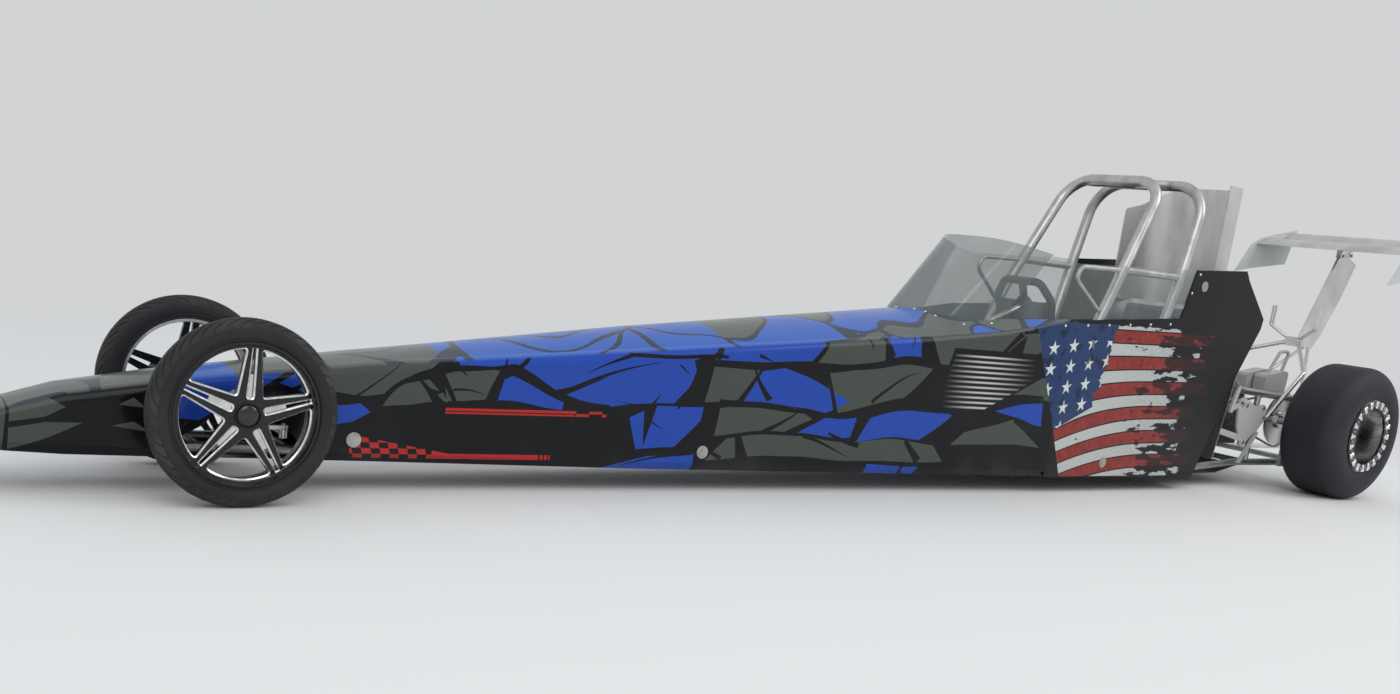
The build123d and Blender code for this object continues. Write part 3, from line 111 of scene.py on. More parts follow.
class Tint(Enum):
    """Colours of the livery, linear."""

    BLACK = (0.004, 0.004, 0.0055)
    BLUE = (0.014, 0.060, 0.36)
    MOSS = (0.058, 0.068, 0.058)
    NAVY = (0.018, 0.045, 0.13)
    RED = (0.24, 0.028, 0.022)
    BONE = (0.46, 0.48, 0.46)
    SCARLET = (0.42, 0.02, 0.02)
    SILVER = (0.62, 0.62, 0.60)

    @property
    def rgba(self) -> tuple[float, float, float, float]:
        """The tint with full alpha."""
        return (*self.value, 1.0)


class Signal:
    """A number in a material; arithmetic on it adds Math nodes."""

    def __init__(self, bench: Bench, socket: bpy.types.NodeSocket) -> None:
        """Keep the bench and the socket."""
        self.bench = bench
        self.socket = socket

    def math(self, operation: str, *operands: Signal | float) -> Signal:
        """Add one Math node.

        Args:
            operation: the node's operation.
            operands: its inputs, in order.
        Returns:
            The node's result.
        """
        node = self.bench.node("ShaderNodeMath", {"operation": operation}, dict(enumerate(operands)))
        return Signal(self.bench, node.outputs[0])

    def __add__(self, other: Signal | float) -> Signal:
        """Sum."""
        return self.math("ADD", self, other)

    __radd__ = __add__

    def __sub__(self, other: Signal | float) -> Signal:
        """Difference."""
        return self.math("SUBTRACT", self, other)

    def __rsub__(self, other: Signal | float) -> Signal:
        """Difference from a number."""
        return self.math("SUBTRACT", other, self)

    def __mul__(self, other: Signal | float) -> Signal:
        """Product."""
        return self.math("MULTIPLY", self, other)

    __rmul__ = __mul__

    def __truediv__(self, other: Signal | float) -> Signal:
        """Quotient."""
        return self.math("DIVIDE", self, other)

    def __abs__(self) -> Signal:
        """Size without the sign."""
        return self.math("ABSOLUTE", self)

    def __gt__(self, other: Signal | float) -> Signal:
        """One where it is greater, else zero."""
        return self.math("GREATER_THAN", self, other)

    def __lt__(self, other: Signal | float) -> Signal:
        """One where it is less, else zero."""
        return self.math("LESS_THAN", self, other)

    def least(self, other: Signal | float) -> Signal:
        """The smaller of two."""
        return self.math("MINIMUM", self, other)

    def most(self, other: Signal | float) -> Signal:
        """The larger of two."""
        return self.math("MAXIMUM", self, other)

    def within(self, low: float, high: float) -> Signal:
        """One between two values, else zero."""
        return (self > low) * (self < high)

    def fraction(self) -> Signal:
        """Part after the decimal point."""
        return self.math("FRACT", self)

    def root(self) -> Signal:
        """Square root."""
        return self.math("SQRT", self)

    def sine(self) -> Signal:
        """Sine, of radians."""
        return self.math("SINE", self)

    def ease(self, low: float, high: float) -> Signal:
        """Smooth step.

        Args:
            low: value at which the result is zero.
            high: value at which the result is one.
        Returns:
            A value from zero to one.
        """
        node = self.bench.node("ShaderNodeMapRange", {"interpolation_type": "SMOOTHSTEP"},
                               {"Value": self, "From Min": low, "From Max": high})
        return Signal(self.bench, node.outputs[0])


def feed(tree: bpy.types.NodeTree, socket: bpy.types.NodeSocket, value: object) -> None:
    """Set a socket to a value, or link it to another socket or a signal."""
    plain = value.socket if isinstance(value, Signal) else value
    if isinstance(plain, bpy.types.NodeSocket):
        tree.links.new(plain, socket)
    else:
        socket.default_value = plain


def add_node(tree: bpy.types.NodeTree, kind: str, settings: dict[str, object] | None = None,
             inputs: dict[int | str, object] | None = None) -> bpy.types.Node:
    """Add a node to a tree.

    Args:
        tree: the tree.
        kind: the node's type.
        settings: its properties, set first.
        inputs: values, sockets or signals for its inputs, by name or index.
    Returns:
        The node.
    """
    node = tree.nodes.new(kind)
    for key, value in (settings or {}).items():
        setattr(node, key, value)
    for key, value in (inputs or {}).items():
        feed(tree, node.inputs[key], value)
    return node


class Bench:
    """One material's nodes, and short ways to add them."""

    def __init__(self, name: str) -> None:
        """Start a material with a Principled surface.

        Args:
            name: name of the material.
        """
        self.material = bpy.data.materials.new(name)
        self.material.use_nodes = True
        self.tree = self.material.node_tree
        self.tree.nodes.clear()
        self.output = self.node("ShaderNodeOutputMaterial")
        self.shader = self.node("ShaderNodeBsdfPrincipled")
        self.tree.links.new(self.shader.outputs[0], self.output.inputs["Surface"])
        self.place = self.node("ShaderNodeTexCoord").outputs["Object"]
        parts = self.node("ShaderNodeSeparateXYZ", None, {0: self.place})
        self.x, self.y, self.z = (Signal(self, socket) for socket in parts.outputs)

    def node(self, kind: str, settings: dict[str, object] | None = None,
             inputs: dict[int | str, object] | None = None) -> bpy.types.Node:
        """Add a node to the material, as add_node does."""
        return add_node(self.tree, kind, settings, inputs)

    @property
    def station(self) -> Signal:
        """Distance behind the front axle."""
        return self.x - FRONT_AXLE_X

    def vector(self, x: Signal | float, y: Signal | float, z: Signal | float) -> bpy.types.NodeSocket:
        """Join three numbers to a vector."""
        return self.node("ShaderNodeCombineXYZ", None, {0: x, 1: y, 2: z}).outputs[0]

    def stretched(self, scale: Point) -> bpy.types.NodeSocket:
        """The object's own place, scaled along each axis."""
        return self.node("ShaderNodeVectorMath", {"operation": "MULTIPLY"}, {0: self.place, 1: scale}).outputs[0]

    def dot(self, place: bpy.types.NodeSocket, direction: Point) -> Signal:
        """How far a place lies along a direction."""
        inputs = {0: place, 1: direction}
        return Signal(self, self.node("ShaderNodeVectorMath", {"operation": "DOT_PRODUCT"}, inputs).outputs["Value"])

    def noise(self, scale: float, detail: float = 3.0, vector: bpy.types.NodeSocket | None = None) -> Signal:
        """Cloudy noise around one half.

        Args:
            scale: how many features a metre holds.
            detail: octaves.
            vector: where it is read, or None for the object's own place.
        Returns:
            The noise.
        """
        node = self.node("ShaderNodeTexNoise", None,
                         {"Vector": vector or self.place, "Scale": scale, "Detail": detail})
        return Signal(self, node.outputs[0])

    def cells(self, scale: float, feature: str = "F1", vector: bpy.types.NodeSocket | None = None) -> Signal:
        """Distance in a Voronoi pattern.

        Args:
            scale: how many cells a metre holds.
            feature: which distance.
            vector: where it is read, or None for the object's own place.
        Returns:
            The distance.
        """
        node = self.node("ShaderNodeTexVoronoi", {"feature": feature},
                         {"Vector": vector or self.place, "Scale": scale})
        return Signal(self, node.outputs["Distance"])

    def mix(self, share: Signal | float, low: object, high: object) -> bpy.types.NodeSocket:
        """Mix two colours.

        Args:
            share: how much of the second.
            low: first colour, a tuple of four or a socket.
            high: second colour.
        Returns:
            The mixed colour.
        """
        node = self.node("ShaderNodeMix", {"data_type": "RGBA"}, {0: share, 6: low, 7: high})
        return node.outputs[2]

    def around(self, centre: Vector) -> tuple[Signal, Signal]:
        """Distance from a line across the car, and the turn round it in radians."""
        dx, dz = self.x - centre.x, self.z - centre.z
        return (dx * dx + dz * dz).root(), dx.math("ARCTAN2", dz, dx)

    def bump(self, height: Signal, distance: float) -> bpy.types.NodeSocket:
        """Normal of a small relief.

        Args:
            height: the relief, from zero to one.
            distance: its depth in metres.
        Returns:
            The normal.
        """
        return self.node("ShaderNodeBump", None, {"Height": height, "Distance": distance}).outputs[0]

    def dress(self, **sockets: object) -> bpy.types.Material:
        """Set the surface's sockets.

        Args:
            sockets: values by the socket's name, with _ for a space.
        Returns:
            The material.
        """
        for key, value in sockets.items():
            name = " ".join(word.upper() if word == "ior" else word.capitalize() for word in key.split("_"))
            feed(self.tree, self.shader.inputs[name], value)
        return self.material


def rgba(colour: Colour, factor: float = 1.0) -> tuple[float, float, float, float]:
    """A colour with full alpha, made darker or lighter by a factor."""
    return (colour[0] * factor, colour[1] * factor, colour[2] * factor, 1.0)


@dataclass(frozen=True)
class BareMetal:
    """Uncoated metal with drawn streaks, soft blotches and fine scratches."""

    name: str
    colour: Colour
    roughness: float = 0.3
    streaks: Point = (6.0, 160.0, 160.0)
    relief: float = 0.00006
    grime: float = 0.25
    scratches: float = 0.12

    def make(self) -> bpy.types.Material:
        """Build the material.

        Returns:
            The material.
        """
        bench = Bench(self.name)
        streak = bench.noise(1.0, 4.0, bench.stretched(self.streaks))
        blotch = bench.noise(14.0, 3.0)
        scratch = bench.cells(55.0, "DISTANCE_TO_EDGE", bench.stretched((1.0, 0.35, 0.6))) < 0.012
        stain = blotch.ease(0.46, 0.72) * self.grime
        base = bench.mix(streak.ease(0.3, 0.7), rgba(self.colour, 0.82), rgba(self.colour, 1.12))
        base = bench.mix(stain, base, rgba(self.colour, 0.45))
        rough = streak * 0.16 + stain * 0.5 + scratch * self.scratches + (self.roughness - 0.08)
        return bench.dress(base_color=base, metallic=1.0, roughness=rough,
                           normal=bench.bump(streak + scratch * (self.scratches * 4.0), self.relief))


@dataclass(frozen=True)
class TurnedMetal:
    """Polished metal with turning rings round a line across the car, and one dark ring between two radii."""

    name: str
    centre: Vector
    colour: Colour = (0.66, 0.66, 0.65)
    roughness: float = 0.20
    dark: Flat = (0.026, 0.070)

    def make(self) -> bpy.types.Material:
        """Build the material.

        Returns:
            The material.
        """
        bench = Bench(self.name)
        radius, _ = bench.around(self.centre)
        rings = bench.noise(1.0, 2.0, bench.vector(radius * 900.0, bench.y * 260.0, 0.0))
        film = bench.noise(5.0, 2.0).ease(0.4, 0.8)
        base = bench.mix(film * 0.2, rgba(self.colour), rgba(self.colour, 0.7))
        base = bench.mix(rings * 0.3, base, rgba(self.colour, 0.7))
        base = bench.mix(radius.within(*self.dark), base, rgba((0.035, 0.035, 0.036)))
        rough = rings * 0.12 + film * 0.12 + self.roughness - 0.06
        return bench.dress(base_color=base, metallic=1.0, roughness=rough, normal=bench.bump(rings, 0.00003))


@dataclass(frozen=True)
class Coated:
    """Smooth painted or moulded surface with faint mottling."""

    name: str
    colour: Colour
    roughness: float = 0.3
    coat: float = 0.0
    grain: float = 240.0
    relief: float = 0.00005
    dust: float = 0.06

    def make(self) -> bpy.types.Material:
        """Build the material.

        Returns:
            The material.
        """
        bench = Bench(self.name)
        grain = bench.noise(self.grain, 3.0)
        dust = bench.noise(9.0, 5.0).ease(0.45, 0.8)
        base = bench.mix(dust * self.dust, rgba(self.colour), rgba((0.16, 0.155, 0.145)))
        base = bench.mix(grain * 0.2, base, rgba(self.colour, 0.6))
        rough = grain * 0.1 + dust * 0.15 + (self.roughness - 0.05)
        return bench.dress(base_color=base, roughness=rough, specular_ior_level=0.32, coat_weight=self.coat,
                           coat_roughness=0.06, normal=bench.bump(grain, self.relief))


@dataclass(frozen=True)
class ClearSheet:
    """See-through plastic sheet with handling streaks."""

    name: str
    colour: Colour
    alpha: float
    streak: float = 0.06

    def make(self) -> bpy.types.Material:
        """Build the material.

        Returns:
            The material.
        """
        bench = Bench(self.name)
        sweep = bench.noise(1.0, 1.0, bench.stretched((7.0, 7.0, 3.0)))
        haze = sweep.ease(0.5, 0.75)
        alpha = haze * self.streak + self.alpha
        base = bench.mix(haze, rgba(self.colour), rgba((0.34, 0.37, 0.37)))
        return bench.dress(base_color=base, alpha=alpha, roughness=haze * 0.1 + 0.04, specular_ior_level=0.6,
                           coat_weight=0.5, coat_roughness=0.03, normal=bench.bump(sweep, 0.0002))


@dataclass(frozen=True)
class TyreRubber:
    """Tyre rubber around one wheel: sidewall rings, and tread cut into blocks or worn smooth."""

    name: str
    centre: Vector
    tread_radius: float
    half_width: float
    treaded: bool
    colour: Colour = (0.014, 0.014, 0.016)

    def make(self) -> bpy.types.Material:
        """Build the material.

        Returns:
            The material.
        """
        bench = Bench(self.name)
        radius, turn = bench.around(self.centre)
        across = abs(bench.y - self.centre.y)
        grain = bench.noise(420.0, 4.0)
        dust = bench.noise(7.0, 5.0).ease(0.4, 0.8)
        wall = 1.0 - radius.ease(self.tread_radius - 0.030, self.tread_radius - 0.014)
        rings = ((radius * 900.0).sine() * 0.5 + 0.5) * wall
        if self.treaded:
            wave = (turn * (46.0 / math.tau) + across * 28.0).fraction()
            sipe = (abs(wave - 0.5) < 0.03) * (across > self.half_width * 0.32)
            rib_cut = abs(across - self.half_width * 0.56) < 0.0008
            cut = sipe.most(rib_cut) * radius.ease(self.tread_radius - 0.014, self.tread_radius - 0.010)
            relief = 0.0010
        else:
            scrub = bench.noise(1.0, 5.0, bench.vector(turn * 3.0, across * 190.0, 0.0))
            cut = scrub.ease(0.42, 0.75) * 0.16 * (1.0 - wall)
            relief = 0.0006
        base = bench.mix(dust * 0.22, rgba(self.colour), rgba((0.075, 0.073, 0.070)))
        # Painted shade: the treaded tyre's grooves painted darker as shade in the recesses; on the slick, darker
        # scrub marks of wear
        base = bench.mix(cut * 0.8, base, rgba(self.colour, 0.25))
        rough = dust * 0.15 + grain * 0.15 + 0.52
        height = grain * 0.06 + rings * 0.05 - cut
        return bench.dress(base_color=base, roughness=rough, specular_ior_level=0.35,
                           normal=bench.bump(height, relief))


@dataclass(frozen=True)
class QuiltCloth:
    """Black woven seat cloth."""

    name: str = "seat cloth"
    colour: Colour = (0.018, 0.018, 0.021)

    def make(self) -> bpy.types.Material:
        """Build the material.

        Returns:
            The material.
        """
        bench = Bench(self.name)
        warp = (bench.y * 4200.0).sine()
        weft = ((bench.x + bench.z) * 4200.0).sine()
        weave = (warp * weft) * 0.5 + 0.5
        fade = bench.noise(10.0, 4.0).ease(0.4, 0.8)
        base = bench.mix(fade * 0.5, rgba(self.colour), rgba((0.06, 0.06, 0.065)))
        base = bench.mix(weave * 0.35, base, rgba(self.colour, 0.4))
        return bench.dress(base_color=base, roughness=weave * 0.08 + 0.8, sheen_weight=0.3,
                           normal=bench.bump(weave, 0.0004))


# Sharp-cornered patches of the livery: the corners of each, anticlockwise, as station and height
SHARDS: dict[Tint, tuple[tuple[Flat, ...], ...]] = {
    Tint.MOSS: (
        ((-0.60, 0.08), (-0.405, 0.085), (-0.40, 0.19), (-0.60, 0.15)),
        ((-0.395, 0.15), (-0.33, 0.155), (-0.29, 0.17), (-0.33, 0.19), (-0.395, 0.19)),
        ((-0.395, 0.09), (-0.34, 0.11), (-0.25, 0.14), (-0.33, 0.145), (-0.395, 0.138)),
        ((-0.19, 0.178), (-0.14, 0.178), (-0.165, 0.197)),
        ((-0.20, 0.136), (-0.13, 0.128), (-0.16, 0.147)),
        ((0.19, 0.222), (0.29, 0.218), (0.335, 0.224), (0.43, 0.275), (0.50, 0.33), (0.19, 0.33)),
        ((0.334, 0.194), (0.398, 0.197), (0.450, 0.207), (0.425, 0.258), (0.366, 0.246), (0.339, 0.218)),
        ((0.427, 0.258), (0.438, 0.241), (0.466, 0.231), (0.443, 0.261)),
        ((0.481, 0.208), (0.572, 0.208), (0.606, 0.275), (0.542, 0.284), (0.473, 0.272)),
        ((0.451, 0.209), (0.484, 0.206), (0.473, 0.228), (0.451, 0.218)),
        ((1.487, 0.353), (1.736, 0.366), (1.710, 0.428), (1.70, 0.51), (1.53, 0.51), (1.505, 0.41)),
        ((1.927, 0.366), (2.151, 0.392), (2.240, 0.46), (2.30, 0.53), (1.85, 0.53), (1.895, 0.434)),
        ((2.16, 0.282), (2.37, 0.284), (2.35, 0.350), (2.27, 0.340)),
        ((2.22, 0.38), (2.30, 0.42), (2.30, 0.48), (2.24, 0.47)),
        ((2.000, 0.142), (2.375, 0.142), (2.235, 0.218), (2.052, 0.182)),
        ((1.185, 0.080), (1.980, 0.088), (1.936, 0.138), (1.664, 0.146), (1.238, 0.138)),
        ((1.15, 0.238), (1.25, 0.240), (1.32, 0.326), (1.16, 0.328)),
        ((1.57, 0.225), (1.80, 0.262), (1.90, 0.35), (1.62, 0.345), (1.53, 0.33)),
        ((1.20, 0.148), (1.42, 0.152), (1.50, 0.196), (1.45, 0.224), (1.20, 0.222)),
    ),
    Tint.BLUE: (
        ((-0.095, 0.16), (-0.05, 0.155), (-0.01, 0.185), (-0.01, 0.26), (-0.095, 0.26)),
        ((-0.015, 0.205), (0.05, 0.195), (0.045, 0.30), (-0.02, 0.30)),
        ((0.06, 0.222), (0.16, 0.28), (0.16, 0.32), (0.06, 0.32)),
        ((0.10, 0.232), (0.19, 0.198), (0.18, 0.275)),
        ((0.20, 0.143), (0.26, 0.155), (0.305, 0.180), (0.28, 0.200), (0.23, 0.190)),
        ((0.507, 0.291), (0.588, 0.285), (0.669, 0.298), (0.72, 0.42), (0.48, 0.42)),
        ((0.606, 0.206), (0.773, 0.211), (0.776, 0.228), (0.625, 0.268)),
        ((0.645, 0.295), (0.751, 0.253), (1.20, 0.370), (1.20, 0.47), (0.60, 0.47)),
        ((0.780, 0.246), (0.885, 0.216), (1.062, 0.228), (1.115, 0.30), (1.10, 0.350), (1.014, 0.340)),
        ((0.957, 0.188), (0.987, 0.107), (1.089, 0.118), (1.150, 0.19), (1.151, 0.226), (1.014, 0.218)),
        ((0.82, 0.045), (1.15, 0.045), (1.150, 0.122), (1.021, 0.090), (0.839, 0.074)),
        ((1.165, 0.345), (1.471, 0.356), (1.510, 0.410), (1.53, 0.49), (1.15, 0.49)),
        ((1.746, 0.368), (1.856, 0.374), (1.845, 0.441), (1.84, 0.51), (1.70, 0.51), (1.716, 0.429)),
        ((2.145, 0.246), (2.225, 0.228), (2.291, 0.208), (2.360, 0.206), (2.345, 0.274)),
        ((1.664, 0.146), (1.882, 0.148), (1.990, 0.236), (1.936, 0.248), (1.704, 0.209)),
        ((1.27, 0.235), (1.54, 0.222), (1.63, 0.262), (1.40, 0.335), (1.33, 0.325)),
        ((1.46, 0.152), (1.64, 0.158), (1.66, 0.222), (1.54, 0.208)),
        ((1.704, 0.045), (1.828, 0.045), (1.828, 0.076), (1.704, 0.076)),
        ((1.850, 0.045), (1.885, 0.045), (1.895, 0.076), (1.837, 0.075)),
    ),
}


@dataclass(frozen=True)
class Thorn:
    """A black blade of the livery: a bent tapering stroke from one end to the other."""

    start: Flat
    end: Flat
    bend: float
    width: float
    tip: float


THORNS = (
    Thorn((-0.02, 0.16), (0.07, 0.25), 0.006, 0.020, 0.003),
    Thorn((0.05, 0.19), (0.20, 0.26), -0.010, 0.016, 0.004),
    Thorn((0.261, 0.209), (0.337, 0.269), 0.0, 0.0060, 0.0032),
    Thorn((0.337, 0.269), (0.385, 0.307), 0.0, 0.0032, 0.0012),
    Thorn((0.331, 0.202), (0.398, 0.263), 0.007, 0.0151, 0.0116),
    Thorn((0.398, 0.263), (0.478, 0.288), 0.005, 0.0116, 0.0093),
    Thorn((0.467, 0.285), (0.606, 0.284), -0.005, 0.0115, 0.0081),
    Thorn((0.422, 0.262), (0.473, 0.195), 0.0, 0.0058, 0.0198),
    Thorn((0.467, 0.277), (0.501, 0.201), 0.0, 0.0128, 0.0093),
    Thorn((0.510, 0.279), (0.524, 0.262), 0.0, 0.0058, 0.0012),
    Thorn((0.495, 0.233), (0.571, 0.216), 0.005, 0.0060, 0.0012),
    Thorn((0.594, 0.205), (0.628, 0.314), 0.0, 0.0198, 0.0023),
    Thorn((0.619, 0.263), (0.710, 0.342), -0.008, 0.0198, 0.0012),
    Thorn((0.625, 0.280), (0.732, 0.250), -0.003, 0.0151, 0.0070),
    Thorn((0.732, 0.250), (0.899, 0.217), -0.002, 0.0100, 0.0081),
    Thorn((0.761, 0.244), (1.021, 0.337), 0.006, 0.0126, 0.0012),
    Thorn((0.943, 0.345), (0.827, 0.292), -0.003, 0.0093, 0.0012),
    Thorn((0.940, 0.347), (1.204, 0.355), 0.002, 0.0105, 0.0081),
    Thorn((1.065, 0.332), (1.094, 0.304), 0.0, 0.0058, 0.0006),
    Thorn((1.125, 0.355), (1.075, 0.215), 0.006, 0.0180, 0.0060),
    Thorn((1.007, 0.214), (0.912, 0.231), 0.002, 0.0047, 0.0006),
    Thorn((1.004, 0.214), (1.024, 0.248), 0.0, 0.0093, 0.0012),
    Thorn((1.004, 0.222), (1.006, 0.118), 0.0, 0.0326, 0.0017),
    Thorn((1.014, 0.178), (1.045, 0.162), 0.0, 0.0047, 0.0012),
    Thorn((1.144, 0.102), (0.946, 0.063), -0.006, 0.0090, 0.0023),
    Thorn((1.471, 0.340), (1.519, 0.409), 0.0, 0.0180, 0.0093),
    Thorn((1.362, 0.353), (1.316, 0.370), 0.0, 0.0016, 0.0109),
    Thorn((1.166, 0.351), (1.197, 0.384), 0.0, 0.0234, 0.0062),
    Thorn((1.664, 0.422), (1.676, 0.394), 0.0, 0.0093, 0.0016),
    Thorn((1.704, 0.440), (1.744, 0.370), 0.0, 0.0078, 0.0171),
    Thorn((1.828, 0.433), (1.810, 0.390), 0.0, 0.0078, 0.0016),
    Thorn((1.850, 0.450), (1.913, 0.350), 0.0, 0.0140, 0.0265),
    Thorn((2.146, 0.400), (2.221, 0.464), 0.0, 0.0140, 0.0202),
    Thorn((2.225, 0.468), (2.291, 0.476), 0.0, 0.0109, 0.0047),
    Thorn((2.142, 0.276), (2.343, 0.290), 0.0, 0.0125, 0.0093),
    Thorn((2.244, 0.217), (2.377, 0.149), 0.0, 0.0187, 0.0125),
    Thorn((1.985, 0.137), (2.025, 0.190), 0.0, 0.0234, 0.0093),
    Thorn((1.672, 0.133), (1.559, 0.167), 0.0, 0.0171, 0.0078),
    Thorn((1.837, 0.140), (1.891, 0.090), 0.0, 0.0140, 0.0234),
    Thorn((1.268, 0.146), (1.291, 0.075), 0.0, 0.0156, 0.0343),
    Thorn((1.185, 0.112), (1.231, 0.083), 0.0, 0.0078, 0.0125),
    Thorn((1.480, 0.142), (1.640, 0.098), 0.008, 0.0120, 0.0020),
    Thorn((1.20, 0.235), (1.66, 0.218), -0.010, 0.0190, 0.0080),
    Thorn((1.36, 0.240), (1.30, 0.340), 0.008, 0.0200, 0.0050),
    Thorn((1.58, 0.215), (1.52, 0.350), -0.006, 0.0170, 0.0080),
    Thorn((1.66, 0.215), (2.13, 0.245), 0.012, 0.0150, 0.0090),
    Thorn((1.70, 0.255), (1.84, 0.330), 0.010, 0.0120, 0.0012),
    Thorn((1.35, 0.148), (1.46, 0.215), -0.006, 0.0140, 0.0030),
)


@dataclass(frozen=True)
class StarPanel:
    """Worn panel of stars and stripes on the flank."""

    front: float = 2.27
    lean: float = 0.46
    field_end: float = 2.62
    stripe: float = 0.078
    stripe_phase: float = 0.47
    end: float = 3.10
    star_step: Flat = (0.083, 0.0615)
    star_origin: Flat = (2.35, 0.435)
    star_slope: float = 0.14
    star_radius: float = 0.0235

    def star(self, station: Signal, z: Signal) -> Signal:
        """Mask of five-pointed stars on a sloping grid.

        Args:
            station: distance behind the front axle.
            z: height.
        Returns:
            One inside a star.
        """
        u = (station - self.star_origin[0]) / self.star_step[0]
        v = (z - self.star_origin[1] - (station - self.star_origin[0]) * self.star_slope) / self.star_step[1]
        du = ((u + 0.5).fraction() - 0.5) * self.star_step[0]
        dv = ((v + 0.5).fraction() - 0.5) * self.star_step[1]
        radius = (du * du + dv * dv).root()
        fifth = math.tau / 5
        turn = du.math("ARCTAN2", du, dv) + (math.tau + fifth / 2)
        fold = abs(turn.math("MODULO", turn, fifth) - fifth / 2)
        inner = 0.382 * self.star_radius
        along = Vector((inner * math.cos(fifth / 2) - self.star_radius, inner * math.sin(fifth / 2)))
        normal = Vector((along.y, -along.x)).normalized()
        px = radius * fold.math("COSINE", fold)
        py = radius * fold.sine()
        return (px * normal.x + py * normal.y) < self.star_radius * normal.x

    def paint(self, bench: Bench, base: bpy.types.NodeSocket) -> bpy.types.NodeSocket:
        """Lay the panel over a colour.

        Args:
            bench: the material's bench.
            base: colour under the panel.
        Returns:
            The new colour.
        """
        station, z = bench.station, bench.z
        wear = bench.noise(60.0, 4.0)
        ragged = bench.noise(16.0, 4.0)
        speck = bench.noise(330.0, 2.0)
        front = (station - self.front) - (0.49 - z) * self.lean > 0.0
        low = ((0.46 - z) * 4.0).most(0.0).least(1.0)
        run = ((2.86 - station) / 0.42).most(0.0)
        sag = run * run * low * 0.062
        height = z + sag - (station - 2.83) * 0.02
        phase = ((self.stripe_phase - height) / self.stripe).fraction()
        tear = (ragged - 0.5) * 0.34
        white = phase.within(0.03, 0.46) * ((station + tear * 0.9) < self.end - 0.05)
        red = phase.within(0.51, 0.98) * ((station + tear) < self.end + 0.02)
        fray = (ragged - 0.5) * 0.10
        field = ((station + fray - (z - 0.2) * 0.24) < self.field_end - 0.07) * (z > 0.20 + (station - 2.42) * 0.45)
        top = ((z + fray * 0.35) < 0.515 + (station - 2.4) * 0.018) * (z > 0.052)
        panel = front * top
        blood = bench.mix(wear.ease(0.35, 0.7), rgba(Tint.RED.value, 0.8), rgba(Tint.RED.value, 1.15))
        fade = station.ease(2.86, 3.22)
        blood = bench.mix(fade * 0.75, blood, Tint.BLACK.rgba)
        bone = bench.mix(speck.ease(0.56, 0.60) * station.ease(2.5, 3.0), Tint.BONE.rgba, rgba((0.10, 0.11, 0.10)))
        navy = bench.mix(speck.ease(0.45, 0.65) * 0.5, Tint.NAVY.rgba, rgba(Tint.NAVY.value, 0.45))
        navy = bench.mix(self.star(station, z) * (z < 0.47), navy, rgba((0.60, 0.62, 0.62)))
        blot = bench.noise(26.0, 5.0, bench.stretched((0.5, 1.0, 1.6))) * 0.9 + station.ease(2.55, 3.15) * 0.30
        ink = blot.ease(0.62, 0.66)
        blood = bench.mix(ink * 0.85, blood, Tint.BLACK.rgba)
        bone = bench.mix(ink, bone, Tint.BLACK.rgba)
        navy = bench.mix(bench.noise(21.0, 4.0).ease(0.56, 0.63) * 0.8, navy, rgba((0.008, 0.014, 0.035)))
        colour = bench.mix(panel, base, Tint.BLACK.rgba)
        colour = bench.mix(panel * red, colour, blood)
        colour = bench.mix(panel * white, colour, bone)
        return bench.mix(panel * field, colour, navy)


@dataclass(frozen=True)
class SpeedLines:
    """Tapering silver lines on a black block; each slanted end is a station, the height there and its lean."""

    foot: float = 0.242
    top: float = 0.402
    step: float = 0.0145
    thinness: float = 3.4
    front: Point = (1.93, 0.245, 0.28)
    rear: Point = (2.12, 0.25, 2.0)
    border: float = 0.012
    block: Flat = (1.90, 2.46)
    brighten: Flat = (1.94, 2.09)
    fade: Flat = (2.10, 2.30)

    def paint(self, bench: Bench, base: bpy.types.NodeSocket) -> bpy.types.NodeSocket:
        """Lay the lines over a colour.

        Args:
            bench: the material's bench.
            base: colour under the lines.
        Returns:
            The new colour.
        """
        station, z = bench.station, bench.z
        ends = [(z - height) * lean + start for start, height, lean in (self.front, self.rear)]
        area = (station - ends[0]).least(ends[1] - station).least(z - self.foot).least(self.top - z)
        block = area > -self.border
        line = ((z - self.foot) / self.step).fraction() - 0.5
        bright = station.ease(*self.brighten) * (1.0 - station.ease(*self.fade))
        glow = (1.0 - abs(line) * self.thinness).most(0.0) * bright * (area > 0.0)
        colour = bench.mix(block * station.within(*self.block), base, Tint.BLACK.rgba)
        return bench.mix(glow * block, colour, Tint.SILVER.rgba)


@dataclass(frozen=True)
class Accents:
    """Two red accents low on the flank: a split bar and a wedge, each with a chequered part."""

    bar: Flat = (0.475, 0.885)
    bar_height: float = 0.188
    bar_half: float = 0.0065
    bar_rise: float = 0.008
    bar_chequer: float = 0.80
    wedge: Flat = (0.262, 0.745)
    wedge_foot: float = 0.078
    wedge_top: float = 0.128
    wedge_chequer: float = 0.45
    wedge_slots: float = 0.715

    def paint(self, bench: Bench, base: bpy.types.NodeSocket) -> bpy.types.NodeSocket:
        """Lay the accents over a colour.

        Args:
            bench: the material's bench.
            base: colour under the accents.
        Returns:
            The new colour.
        """
        station, z = bench.station, bench.z
        rise = z - ((station - 0.48) * self.bar_rise + self.bar_height)
        squares = (station * 90.0).sine() * (rise * 480.0).sine() > 0.0
        hairline = abs(rise + 0.001) > 0.0012
        chequered = station > self.bar_chequer
        upper = (abs(rise) < self.bar_half) * station.within(*self.bar)
        upper = upper * squares.most(1.0 - chequered) * hairline.most(chequered)
        top = self.wedge_top - (station - 0.27).most(0.0).least(0.22) * 0.17
        grid = (station * 150.0 + z * 40.0).sine() * (z * 250.0).sine() > 0.0
        slots = (station > self.wedge_slots) * (((station - self.wedge_slots) * 90.0).fraction() < 0.35)
        lower = (z < top) * (z > self.wedge_foot) * station.within(*self.wedge)
        lower = lower * grid.most(station > self.wedge_chequer) * (1.0 - slots)
        return bench.mix(upper.most(lower), base, Tint.SCARLET.rgba)


